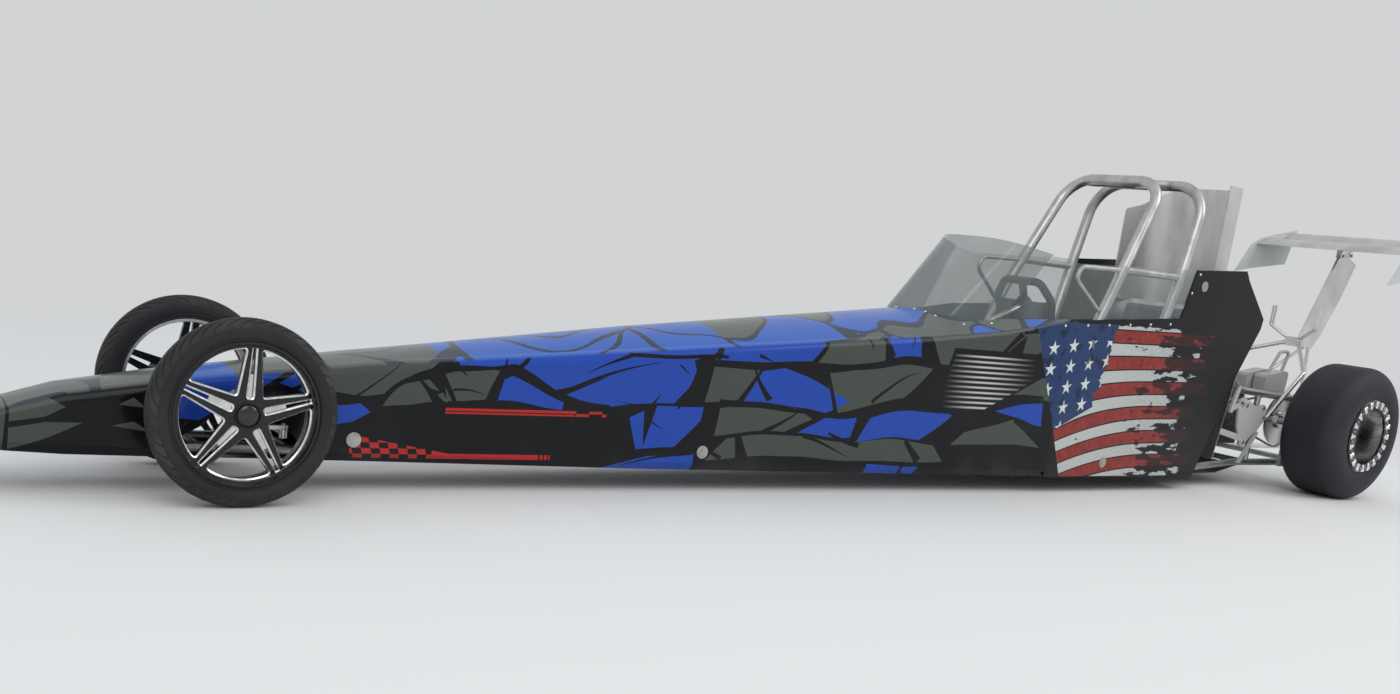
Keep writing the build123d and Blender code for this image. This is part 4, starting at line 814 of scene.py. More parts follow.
@dataclass(frozen=True)
class Livery:
    """Glossy wrap of the body: shards and blades on black, with the layers over them."""

    name: str = "body livery"
    layers: tuple[Accents | SpeedLines | StarPanel, ...] = (Accents(), SpeedLines(), StarPanel())
    nose_seam: float = -0.40

    def shard(self, bench: Bench, place: bpy.types.NodeSocket, corners: Sequence[Flat]) -> Signal:
        """Mask of a convex patch.

        Args:
            bench: the material's bench.
            place: the place that is tested.
            corners: its corners, anticlockwise, as station and height.
        Returns:
            One inside the patch.
        """
        reaches = []
        for (s0, z0), (s1, z1) in zip(corners, (*corners[1:], corners[0])):
            inward = Vector((z0 - z1, s1 - s0)).normalized()
            offset = inward.x * (s0 + FRONT_AXLE_X) + inward.y * z0
            reaches.append(bench.dot(place, (inward.x, 0.0, inward.y)) - offset)
        return reduce(Signal.least, reaches) > 0.0

    def thorn(self, bench: Bench, place: bpy.types.NodeSocket, blade: Thorn) -> Signal:
        """Mask of one blade.

        Args:
            bench: the material's bench.
            place: the place that is tested.
            blade: the blade.
        Returns:
            Above zero inside it.
        """
        start, end = Vector(blade.start), Vector(blade.end)
        run = end - start
        along = run / run.length_squared
        side = Vector((-run.y, run.x)).normalized()
        anchor = Vector((start.x + FRONT_AXLE_X, start.y))
        share = bench.dot(place, (along.x, 0.0, along.y)) - along.dot(anchor)
        off = bench.dot(place, (side.x, 0.0, side.y)) - side.dot(anchor)
        if blade.bend:
            off = off - share * (1.0 - share) * (4.0 * blade.bend)
        half = share * ((blade.tip - blade.width) / 2) + blade.width / 2
        return (half - abs(off)).least(share + 0.01).least(1.0 - share)

    def lid(self, bench: Bench, sway: bpy.types.NodeSocket) -> bpy.types.NodeSocket:
        """Broad cracked patches on the upward faces, in tones painted paler than the flank's as a painted sky sheen.

        Args:
            bench: the material's bench.
            sway: noise that bends the cracks.
        Returns:
            The colour.
        """
        station = bench.station
        place = bench.vector(bench.x * 2.0, bench.y * 3.6 + sway, bench.x * 0.0)
        crack = bench.cells(1.5, "DISTANCE_TO_EDGE", place) > 0.026
        patch = bench.node("ShaderNodeTexVoronoi", None, {"Vector": place, "Scale": 1.5})
        tone = Signal(bench, bench.node("ShaderNodeSeparateXYZ", None, {0: patch.outputs["Color"]}).outputs[0])
        mossy = ((tone > 0.45) * (station > 1.22)).most((station < 0.47) * ((station > 0.02).most(station < -0.12)))
        # Blue and moss patches and grey-blue cracks: the top's pattern, painted paler than the flank's tints as a
        # painted sky sheen
        patches = bench.mix(mossy, rgba((0.050, 0.13, 0.46)), rgba((0.11, 0.125, 0.115)))
        return bench.mix(crack, rgba((0.045, 0.055, 0.075)), patches)

    def make(self) -> bpy.types.Material:
        """Build the material.

        Returns:
            The material.
        """
        bench = Bench(self.name)
        sway = bench.node("ShaderNodeTexNoise", None, {"Vector": bench.place, "Scale": 4.5, "Detail": 0.0})
        shift = bench.node("ShaderNodeVectorMath", {"operation": "MULTIPLY_ADD"},
                           {0: sway.outputs[1], 1: (0.05, 0.0, 0.05), 2: (-0.025, 0.0, -0.025)})
        place = bench.node("ShaderNodeVectorMath", {"operation": "ADD"},
                           {0: bench.place, 1: shift.outputs[0]}).outputs[0]
        flank: object = Tint.BLACK.rgba
        for tint, shards in SHARDS.items():
            patches = reduce(Signal.most, [self.shard(bench, place, corners) for corners in shards])
            flank = bench.mix(patches, flank, tint.rgba)
        blades = reduce(Signal.most, [self.thorn(bench, place, blade) for blade in THORNS])
        flank = bench.mix(blades > 0.0, flank, Tint.BLACK.rgba)
        for layer in self.layers:
            flank = layer.paint(bench, flank)
        normal = bench.node("ShaderNodeNewGeometry").outputs["Normal"]
        facing = bench.node("ShaderNodeSeparateXYZ", None, {0: normal})
        across, upward = (Signal(bench, facing.outputs[axis]) for axis in (1, 2))
        flank = bench.mix((across * bench.y < 0.0) * (abs(across) > 0.5), flank, Tint.BLACK.rgba)
        # Upward faces take the top's pattern with its painted sky sheen
        base = bench.mix(upward.ease(0.66, 0.90), flank, self.lid(bench, sway.outputs[0]))
        seam = abs(bench.station - self.nose_seam) < 0.0012
        base = bench.mix(seam, base, rgba((0.002, 0.002, 0.002)))
        dust = bench.noise(6.0, 5.0).ease(0.45, 0.85)
        low = 1.0 - bench.z.ease(0.05, 0.13)
        base = bench.mix(dust * 0.02 + low * dust * 0.10, base, rgba((0.24, 0.23, 0.21)))
        ripple = bench.noise(3.2, 1.0)
        return bench.dress(base_color=base, roughness=dust * 0.12 + 0.24, specular_ior_level=0.16, coat_weight=0.14,
                           coat_roughness=0.06, normal=bench.bump(ripple, 0.0012))


class Finishes:
    """Every material of the scene, each made once, on first use."""

    def __init__(self) -> None:
        """Start with none made."""
        self.made: dict[str, bpy.types.Material] = {}
        self.makers = {
            "livery": Livery(),
            "pan": Coated("pan sheet", (0.03, 0.03, 0.032), 0.35, 0.2),
            "smoked": ClearSheet("smoked sheet", (0.17, 0.20, 0.195), 0.42),
            "clear": ClearSheet("clear sheet", (0.28, 0.31, 0.31), 0.17),
            "frame": BareMetal("frame tube", (0.42, 0.43, 0.44), 0.4),
            "cage": BareMetal("cage tube", (0.56, 0.56, 0.54), 0.36, (26.0, 26.0, 5.0), 0.00003, 0.35),
            "sheet": BareMetal("bare sheet", (0.70, 0.70, 0.69), 0.34, (3.0, 9.0, 2.0), 0.00002, 0.12),
            "seat": BareMetal("seat shell", (0.56, 0.56, 0.57), 0.38, (4.0, 14.0, 4.0), 0.00002, 0.15),
            "cloth": QuiltCloth(),
            "grip": Coated("moulded grip", (0.015, 0.015, 0.016), 0.55, 0.0, 700.0, 0.0002),
            "steel": BareMetal("machined steel", (0.56, 0.56, 0.55), 0.28),
            "chain": BareMetal("chain steel", (0.44, 0.43, 0.41), 0.3, (200.0, 200.0, 200.0)),
            "gloss": Coated("black gloss", (0.006, 0.006, 0.007), 0.14, 0.8),
            "rim": Coated("black rim", (0.007, 0.007, 0.008), 0.26, 0.3),
            "bright": BareMetal("machined edge", (0.86, 0.86, 0.85), 0.22, (90.0, 90.0, 90.0), 0.00002, 0.05),
            "polish": BareMetal("polished spinning", (0.72, 0.72, 0.71), 0.24, (20.0, 60.0, 20.0), 0.00002, 0.12),
            "barrel": BareMetal("satin barrel", (0.62, 0.61, 0.59), 0.42, (30.0, 8.0, 30.0), 0.00003),
            "plate": Coated("machined plate", (0.44, 0.44, 0.43), 0.36, 0.15, 90.0, 0.00004),
            "cast": Coated("cast block", (0.10, 0.10, 0.105), 0.6, 0.0, 160.0, 0.0012),
            "cover": Coated("folded cover", (0.36, 0.36, 0.35), 0.34, 0.2, 60.0, 0.00004),
            "wing": BareMetal("wing sheet", (0.62, 0.62, 0.61), 0.30, (2.5, 7.0, 7.0), 0.00001, 0.04, 0.02),
            "fin": Coated("end plate sheet", (0.50, 0.51, 0.50), 0.35, 0.2, 40.0, 0.00002, 0.04),
            "arm": BareMetal("polished arm", (0.70, 0.70, 0.69), 0.28, (5.0, 5.0, 3.0), 0.00001, 0.10, 0.03),
            "lug": Coated("tread block", (0.022, 0.022, 0.023), 0.6, 0.0, 420.0, 0.0003, 0.3),
            "turned": TurnedMetal("turned disc", at(REAR_AXLE, 0.0, REAR_RADIUS), dark=(0.0, 0.0)),
            "button": BareMetal("quarter-turn button", (0.46, 0.46, 0.44), 0.42, (40.0, 40.0, 40.0), 0.00003, 0.3),
            "small": Coated("small tyre", (0.02, 0.02, 0.022), 0.6, 0.0, 300.0, 0.0002),
            "rubber": Coated("seal rubber", (0.012, 0.012, 0.013), 0.5, 0.0),
        }

    def get(self, name: str) -> bpy.types.Material:
        """The material of that name.

        Args:
            name: a key of the makers.
        Returns:
            The material.
        """
        if name not in self.made:
            self.made[name] = self.makers[name].make()
        return self.made[name]


FINISHES = Finishes()


def linked(name: str, data: bpy.types.ID) -> bpy.types.Object:
    """A new object of the scene with that data."""
    thing = bpy.data.objects.new(name, data)
    bpy.context.scene.collection.objects.link(thing)
    return thing


def evaluated(thing: bpy.types.Object) -> bpy.types.Mesh:
    """Plain mesh of an object as its modifiers leave it."""
    bpy.context.view_layer.update()
    return bpy.data.meshes.new_from_object(thing.evaluated_get(bpy.context.evaluated_depsgraph_get()))


def cleaned(mesh: bpy.types.Mesh) -> bpy.types.Mesh:
    """A mesh with its doubled points merged and its faces turned outwards."""
    build = bmesh.new()
    build.from_mesh(mesh)
    bmesh.ops.remove_doubles(build, verts=build.verts, dist=MERGE)
    bmesh.ops.recalc_face_normals(build, faces=build.faces)
    build.to_mesh(mesh)
    build.free()
    return mesh


def dress(node: str, material: bpy.types.Material) -> None:
    """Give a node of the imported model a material."""
    thing = NODES[node]
    if not thing.material_slots:
        thing.data.materials.append(material)
    for slot in thing.material_slots:
        slot.material = material


def piece(name: str, mesh: bpy.types.Mesh, body: str, stands_for: Sequence[str] = ()) -> bpy.types.Object:
    """Put a finished mesh into the scene.

    Args:
        name: the piece's name.
        mesh: its mesh, in the model's frame.
        body: the body that it rides on.
        stands_for: nodes that it replaces.
    Returns:
        The object.
    """
    thing = linked(name, mesh)
    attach(thing, body)
    if stands_for:
        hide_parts(*stands_for)
    LOG.info("%s: %d faces on %s", name, len(mesh.polygons), body)
    return thing


def smooth(mesh: bpy.types.Mesh, angle: float = 35.0) -> bpy.types.Mesh:
    """Shade a mesh smooth up to an angle between its faces, in degrees."""
    mesh.shade_smooth()
    mesh.set_sharp_from_angle(angle=math.radians(angle))
    return mesh


def mesh_of(name: str, points: Iterable[Sequence[float]], faces: Iterable[Sequence[int]],
            material: bpy.types.Material, kinds: Sequence[int] = ()) -> bpy.types.Mesh:
    """A mesh with outward faces.

    Args:
        name: the mesh's name.
        points: its vertices.
        faces: its faces, by vertex.
        material: its material.
        kinds: each face's place in the list of materials; the first for all when left out.
    Returns:
        The mesh.
    """
    mesh = bpy.data.meshes.new(name)
    mesh.from_pydata([tuple(p) for p in points], [], [tuple(f) for f in faces])
    for part, kind in zip(mesh.polygons, kinds):
        part.material_index = kind
    mesh.materials.append(material)
    return smooth(cleaned(mesh))


def lathe(name: str, profile: Sequence[Flat], place: Matrix, material: bpy.types.Material,
          steps: int = 96) -> bpy.types.Mesh:
    """A closed profile turned round the z axis of a frame.

    Args:
        name: the mesh's name.
        profile: radius and distance along the axis, as a closed loop; it may start and end on the axis.
        place: the frame.
        material: its material.
        steps: faces round it.
    Returns:
        The mesh.
    """
    points = []
    for step in range(steps):
        turn = math.tau * step / steps
        points += [place @ Vector((r * math.cos(turn), r * math.sin(turn), w)) for r, w in profile]
    count = len(profile)
    faces = []
    for step in range(steps):
        here, there = step * count, (step + 1) % steps * count
        for i in range(count):
            j = (i + 1) % count
            if profile[i][0] > 0 or profile[j][0] > 0:
                faces.append((here + i, here + j, there + j, there + i))
    return mesh_of(name, points, faces, material)


def joined(name: str, meshes: Sequence[bpy.types.Mesh]) -> bpy.types.Mesh:
    """Several meshes as one, keeping their materials.

    Args:
        name: name of the result.
        meshes: the meshes.
    Returns:
        The joined mesh.
    """
    build = bmesh.new()
    materials: list[bpy.types.Material] = []
    for mesh in meshes:
        first = len(build.faces)
        build.from_mesh(mesh)
        build.faces.ensure_lookup_table()
        for face in build.faces[first:]:
            material = mesh.materials[face.material_index]
            if material not in materials:
                materials.append(material)
            face.material_index = materials.index(material)
    result = bpy.data.meshes.new(name)
    build.to_mesh(result)
    build.free()
    for material in materials:
        result.materials.append(material)
    return smooth(result)


def bend(before: Vector, corner: Vector, after: Vector, steps: int) -> list[Vector]:
    """Points of a smooth bend that leaves one side of a corner and joins the other."""
    shares = [step / (steps - 1) for step in range(steps)]
    return [before.lerp(corner, t).lerp(corner.lerp(after, t), t) for t in shares]


def turned(outline: Sequence[Flat], turn: float) -> list[Flat]:
    """An outline turned round the origin by an angle in radians."""
    cos, sin = math.cos(turn), math.sin(turn)
    return [(u * cos - v * sin, u * sin + v * cos) for u, v in outline]


def rounded(corners: Sequence[Flat], radius: float, steps: int = 5) -> list[Flat]:
    """A polygon with its corners rounded.

    Args:
        corners: the polygon's corners.
        radius: radius of the corners; it shrinks where a side is short.
        steps: points along each rounded corner.
    Returns:
        The points of the outline.
    """
    outline: list[Flat] = []
    count = len(corners)
    for i in range(count):
        before, here, after = (Vector(corners[(i + k) % count]) for k in (-1, 0, 1))
        to_before, to_after = (before - here), (after - here)
        reach = min(to_before.length, to_after.length) * 0.45
        half = to_before.angle(to_after) / 2
        cut = min(radius / math.tan(half), reach)
        start, end = here + to_before.normalized() * cut, here + to_after.normalized() * cut
        outline += [(point.x, point.y) for point in bend(start, here, end, steps)]
    return outline


def eased(outline: Sequence[Flat], sharp: Sequence[int], radius: float, steps: int = 7) -> list[Flat]:
    """An outline with some of its corners rounded, however short its runs are.

    Args:
        outline: a closed outline.
        sharp: the corners that are rounded, by index.
        radius: length taken off each side of a corner.
        steps: points along each rounded corner.
    Returns:
        The new outline.
    """
    points = [Vector(p) for p in outline]
    runs = [(b - a).length for a, b in zip(points, points[1:] + points[:1])]
    starts = [sum(runs[:i]) for i in range(len(points))]
    total = sum(runs)

    def spot(distance: float) -> Vector:
        """Point at a distance along the outline."""
        distance %= total
        index = max(i for i, start in enumerate(starts) if start <= distance + 1e-12)
        following = points[(index + 1) % len(points)]
        return points[index].lerp(following, (distance - starts[index]) / runs[index])

    result: list[Flat] = []
    for i, point in enumerate(points):
        gaps = [min(abs(starts[i] - starts[k]), total - abs(starts[i] - starts[k])) for k in sharp]
        if i in sharp:
            curve = bend(spot(starts[i] - radius), point, spot(starts[i] + radius), steps)
            result += [(place.x, place.y) for place in curve]
        elif min(gaps, default=total) > radius * 1.02:
            result.append((point.x, point.y))
    return result


def grown(outline: Sequence[Flat], distance: float) -> list[Flat]:
    """An outline moved outwards by a distance, or inwards by a negative one."""
    points = [Vector(p) for p in outline]
    area = sum(a.x * b.y - b.x * a.y for a, b in zip(points, points[1:] + points[:1]))
    turn = 1.0 if area > 0 else -1.0
    moved = []
    for i, here in enumerate(points):
        first = (here - points[i - 1]).normalized()
        second = (points[(i + 1) % len(points)] - here).normalized()
        side = Vector((first.y + second.y, -first.x - second.x)).normalized() * turn
        reach = distance / max(0.6, side.dot(Vector((first.y, -first.x)) * turn))
        moved.append((here.x + side.x * reach, here.y + side.y * reach))
    return moved


def plate(name: str, outer: Sequence[Flat], holes: Sequence[Sequence[Flat]], place: Matrix, thick: float,
          chamfer: Flat, face: bpy.types.Material, edge: bpy.types.Material, plain_rim: bool = False,
          dish: Callable[[float], float] = lambda radius: 0.0) -> bpy.types.Mesh:
    """A flat plate with holes and bright chamfers, its outer face at z = 0 of a frame.

    Args:
        name: the mesh's name.
        outer: the outer outline, as x and y.
        holes: the outlines of the holes.
        place: the frame.
        thick: the plate's thickness.
        chamfer: width and depth of the chamfer along each edge.
        face: material of the flat faces and the walls.
        edge: material of the chamfers.
        plain_rim: whether the outer edge has no chamfer.
        dish: rise of the plate by the distance from its middle.
    Returns:
        The mesh.
    """
    width, depth = chamfer
    points: list[Point] = []
    faces: list[tuple[int, ...]] = []
    kinds: list[int] = []
    crowns: list[list[int]] = []
    floors: list[list[int]] = []
    for outline, swell in [(outer, 0.0 if plain_rim else -width), *((hole, width) for hole in holes)]:
        levels = ((grown(outline, swell) if swell else list(outline), 0.0), (outline, -depth), (outline, -thick))
        rings = []
        for ring, level in levels:
            rings.append([len(points) + i for i in range(len(ring))])
            points += [(u, v, level + dish(math.hypot(u, v))) for u, v in ring]
        for kind, high, low in zip((1 if swell else 0, 0), rings, rings[1:]):
            for i in range(len(high)):
                j = (i + 1) % len(high)
                faces.append((high[i], high[j], low[j], low[i]))
                kinds.append(kind)
        crowns.append(rings[0])
        floors.append(rings[-1])
    for group in (crowns, floors):
        order = [index for ring in group for index in ring]
        flat = [[Vector((points[index][0], points[index][1], 0.0)) for index in ring] for ring in group]
        faces += [tuple(order[k] for k in corner) for corner in tessellate_polygon(flat)]
    mesh = mesh_of(name, points, faces, face, [*kinds, *([0] * (len(faces) - len(kinds)))])
    mesh.materials.append(edge)
    mesh.transform(place)
    return smooth(mesh, 25.0)


def bar(name: str, points: Sequence[Vector], radius: float, material: bpy.types.Material,
        cut: float = 0.0) -> bpy.types.Mesh:
    """A round bar along straight runs with rounded corners.

    Args:
        name: the mesh's name.
        points: the corners of its centre line.
        radius: the bar's radius.
        material: its material.
        cut: length cut off each side of a corner for its bend.
    Returns:
        The mesh.
    """
    line = [points[0]]
    for before, here, after in zip(points, points[1:], points[2:]):
        start = here + (before - here).normalized() * cut
        end = here + (after - here).normalized() * cut
        line += bend(start, here, end, 9 if cut > 0 else 2)
    line.append(points[-1])
    curve = bpy.data.curves.new(name, "CURVE")
    curve.dimensions = "3D"
    curve.bevel_depth = radius
    curve.bevel_resolution = 4
    curve.use_fill_caps = True
    spline = curve.splines.new("POLY")
    spline.points.add(len(line) - 1)
    for point, place in zip(spline.points, line):
        point.co = (*place, 1.0)
    carrier = linked(name, curve)
    mesh = evaluated(carrier)
    bpy.data.objects.remove(carrier)
    bpy.data.curves.remove(curve)
    mesh.materials.clear()
    mesh.materials.append(material)
    return smooth(cleaned(mesh), 50.0)


class Head(Enum):
    """Kinds of fastener head."""

    DOME = "dome"
    HEX = "hex"
    BUTTON = "button"


class SpreadTree:
    """Geometry Nodes tree that sets a shape on every point of a mesh and makes one plain mesh of them."""

    def __init__(self, name: str, sockets: Sequence[tuple[str, str]], result: str) -> None:
        """Start the tree with its sockets.

        Args:
            name: the tree's name.
            sockets: label and kind of each input.
            result: label of the output.
        """
        self.tree = bpy.data.node_groups.new(name, "GeometryNodeTree")
        self.tree.is_modifier = True
        for label, kind in sockets:
            self.tree.interface.new_socket(name=label, in_out="INPUT", socket_type=kind)
        self.tree.interface.new_socket(name=result, in_out="OUTPUT", socket_type="NodeSocketGeometry")
        self.given = self.tree.nodes.new("NodeGroupInput")

    def node(self, kind: str, settings: dict[str, object] | None = None,
             inputs: dict[int | str, object] | None = None) -> bpy.types.Node:
        """Add a node to the tree, as add_node does."""
        return add_node(self.tree, kind, settings, inputs)

    def spread(self, shape: bpy.types.NodeSocket, turn: bpy.types.NodeSocket) -> None:
        """Set a shape on the points, make it real and give it the material."""
        many = self.node("GeometryNodeInstanceOnPoints", None,
                         {"Points": self.given.outputs["Points"], "Instance": shape, "Rotation": turn})
        real = self.node("GeometryNodeRealizeInstances", None, {0: many.outputs[0]})
        painted = self.node("GeometryNodeSetMaterial", None,
                            {"Geometry": real.outputs[0], "Material": self.given.outputs["Material"]})
        self.node("NodeGroupOutput", None, {0: painted.outputs[0]})

    def grow(self, name: str, spots: Sequence[tuple[Vector, Sequence[float]]], layer: str,
             values: dict[str, object]) -> bpy.types.Mesh:
        """Run the tree on points.

        Args:
            name: the result's name.
            spots: each point's place and its vector.
            layer: name of the attribute that holds the vectors.
            values: the tree's inputs by label.
        Returns:
            The plain mesh.
        """
        mesh = bpy.data.meshes.new(name)
        mesh.from_pydata([tuple(place) for place, vector in spots], [], [])
        attribute = mesh.attributes.new(layer, "FLOAT_VECTOR", "POINT")
        for item, (place, vector) in zip(attribute.data, spots):
            item.vector = vector
        carrier = linked(name, mesh)
        modifier = carrier.modifiers.new("spread", "NODES")
        modifier.node_group = self.tree
        for item in self.tree.interface.items_tree:
            if item.item_type == "SOCKET" and item.in_out == "INPUT" and item.name in values:
                modifier[item.identifier] = values[item.name]
        result = evaluated(carrier)
        bpy.data.objects.remove(carrier)
        return result


class FastenerTree(SpreadTree):
    """Fasteners on points, each turned to its facing."""

    def __init__(self, head: Head) -> None:
        """Build the tree for one kind of head.

        Args:
            head: the kind of head.
        """
        super().__init__(f"{head.value} heads", (("Points", "NodeSocketGeometry"), ("Radius", "NodeSocketFloat"),
                                                 ("Height", "NodeSocketFloat"), ("Material", "NodeSocketMaterial")),
                         "Fasteners")
        shape = {Head.DOME: self._dome, Head.HEX: self._hex, Head.BUTTON: self._button}[head]()
        facing = self.node("GeometryNodeInputNamedAttribute", {"data_type": "FLOAT_VECTOR"}, {"Name": "facing"})
        turn = self.node("FunctionNodeAlignRotationToVector", {"axis": "Z"}, {"Vector": facing.outputs[0]})
        self.spread(shape, turn.outputs[0])

    def _scaled(self, geometry: bpy.types.NodeSocket, flat: float, tall: float) -> bpy.types.NodeSocket:
        """A unit shape scaled by the tree's radius and height."""
        wide = self.node("ShaderNodeMath", {"operation": "MULTIPLY"}, {0: self.given.outputs["Radius"], 1: flat})
        high = self.node("ShaderNodeMath", {"operation": "MULTIPLY"}, {0: self.given.outputs["Height"], 1: tall})
        size = self.node("ShaderNodeCombineXYZ", None, {0: wide.outputs[0], 1: wide.outputs[0], 2: high.outputs[0]})
        return self.node("GeometryNodeTransform", None, {"Geometry": geometry, "Scale": size.outputs[0]}).outputs[0]

    def _cylinder(self, sides: int, flat: float, tall: float) -> bpy.types.NodeSocket:
        """A disc of the given share of the radius and of the height."""
        shape = self.node("GeometryNodeMeshCylinder", None, {"Vertices": sides, "Radius": 1.0, "Depth": 1.0})
        return self._scaled(shape.outputs["Mesh"], flat, tall)

    def _merged(self, *shapes: bpy.types.NodeSocket) -> bpy.types.NodeSocket:
        """Several shapes as one."""
        join = self.tree.nodes.new("GeometryNodeJoinGeometry")
        for shape in shapes:
            self.tree.links.new(shape, join.inputs[0])
        return join.outputs[0]

    def _dome(self) -> bpy.types.NodeSocket:
        """A flattened ball."""
        ball = self.node("GeometryNodeMeshUVSphere", None, {"Segments": 14, "Rings": 8, "Radius": 1.0})
        soft = self.node("GeometryNodeSetShadeSmooth", None, {0: ball.outputs["Mesh"]})
        return self._scaled(soft.outputs[0], 1.0, 1.0)

    def _hex(self) -> bpy.types.NodeSocket:
        """A washer with a six-sided head on it."""
        return self._merged(self._cylinder(6, 0.8, 2.0), self._cylinder(18, 1.0, 0.6))

    def _button(self) -> bpy.types.NodeSocket:
        """A wide flanged ring with a raised middle."""
        steps = ((28, 1.0, 1.0), (24, 0.62, 1.5), (20, 0.30, 1.9))
        return self._merged(*(self._cylinder(*step) for step in steps))

    def set(self, name: str, spots: Sequence[tuple[Vector, Vector]], radius: float, height: float,
            material: bpy.types.Material) -> bpy.types.Mesh:
        """Set fasteners on spots.

        Args:
            name: the mesh's name.
            spots: each spot's place and facing.
            radius: radius of a head.
            height: its height.
            material: its material.
        Returns:
            The plain mesh of all of them.
        """
        return self.grow(name, spots, "facing", {"Radius": radius, "Height": height, "Material": material})


class RepeatTree(SpreadTree):
    """One element on points, each turned by its own angles."""

    def __init__(self) -> None:
        """Build the tree."""
        super().__init__("repeat", (("Points", "NodeSocketGeometry"), ("Element", "NodeSocketObject"),
                                    ("Material", "NodeSocketMaterial")), "Row")
        element = self.node("GeometryNodeObjectInfo", None, {"Object": self.given.outputs["Element"]})
        angles = self.node("GeometryNodeInputNamedAttribute", {"data_type": "FLOAT_VECTOR"}, {"Name": "angles"})
        turn = self.node("FunctionNodeEulerToRotation", None, {0: angles.outputs[0]})
        self.spread(element.outputs["Geometry"], turn.outputs[0])

    def row(self, name: str, element: bpy.types.Mesh, spots: Sequence[tuple[Vector, Point]],
            material: bpy.types.Material) -> bpy.types.Mesh:
        """Repeat an element.

        Args:
            name: the result's name.
            element: the element, round its own origin.
            spots: each copy's place and its turn about x, y and z, in radians.
            material: material of all of them.
        Returns:
            The plain mesh of all of them.
        """
        source = linked("element", element)
        result = self.grow(name, spots, "angles", {"Element": source, "Material": material})
        bpy.data.objects.remove(source)
        return result


def cast(node: str, origin: Vector, direction: Vector) -> tuple[Vector, Vector]:
    """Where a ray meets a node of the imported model.

    Args:
        node: the node's name.
        origin: start of the ray.
        direction: its direction.
    Returns:
        The place and the outward normal there.
    """
    hit, place, normal, _ = NODES[node].ray_cast(origin, direction.normalized())
    if not hit:
        raise ValueError(f"no surface of {node} from {tuple(origin)}")
    return place, (normal if normal.dot(direction) < 0 else -normal)


@dataclass
class Body:
    """Painted wedge body with its fasteners."""

    rivets_top: tuple[Flat, ...] = ((1.982, 0.060), (1.977, -0.020), (1.986, -0.097), (2.039, -0.160),
                                    (2.139, -0.172))
    middle_rivet: float = 0.03
    rivet_stations: tuple[float, ...] = (2.38, 2.48, 2.58, 2.68, 2.78, 2.88)
    rivet_foot: float = 0.503
    rivet_rise: float = 0.068
    rivet_radius: float = 0.0042
    buttons: tuple[Flat, ...] = ((0.27, 0.118), (1.17, 0.105), (2.67, 0.095), (3.02, 0.665))
    button_radius: float = 0.0165
    ear_rivets: tuple[Flat, ...] = ((2.985, 0.700), (2.960, 0.640))

    def build(self) -> None:
        """Dress the panels and set their fasteners."""
        for node in ("nose_cap", "body_top", "side_panel_left", "side_panel_right"):
            dress(node, FINISHES.get("livery"))
        dress("belly_pan", FINISHES.get("pan"))
        self.set_rivets()
        self.set_buttons()

    def set_rivets(self) -> None:
        """Dome rivets round the screen's flange and along the glass's foot."""
        down = Vector((0, 0, -1))
        spots = []
        for station, y in self.rivets_top:
            for mirror in ((1, -1) if abs(y) > self.middle_rivet else (1,)):
                spots.append(cast("body_top", at(station, y * mirror, 0.9), down))
        first = self.rivet_stations[0]
        along = [(station, self.rivet_foot + (station - first) * self.rivet_rise) for station in self.rivet_stations]
        for side in Side:
            for station, height in (*along, *self.ear_rivets):
                spots.append(cast(f"side_panel_{side.tag}", at(station, side.value * 0.5, height), -side.out))
        mesh = FastenerTree(Head.DOME).set("screen_rivets", spots, self.rivet_radius, 0.0024, FINISHES.get("bright"))
        piece("screen_rivets", mesh, "chassis")

    def set_buttons(self) -> None:
        """Quarter-turn buttons on the flanks."""
        spots = []
        for side in Side:
            for station, z in self.buttons:
                spots.append(cast(f"side_panel_{side.tag}", at(station, side.value * 0.6, z), -side.out))
        tree = FastenerTree(Head.BUTTON)
        mesh = tree.set("panel_buttons", spots, self.button_radius, 0.0028, FINISHES.get("button"))
        piece("panel_buttons", mesh, "chassis")


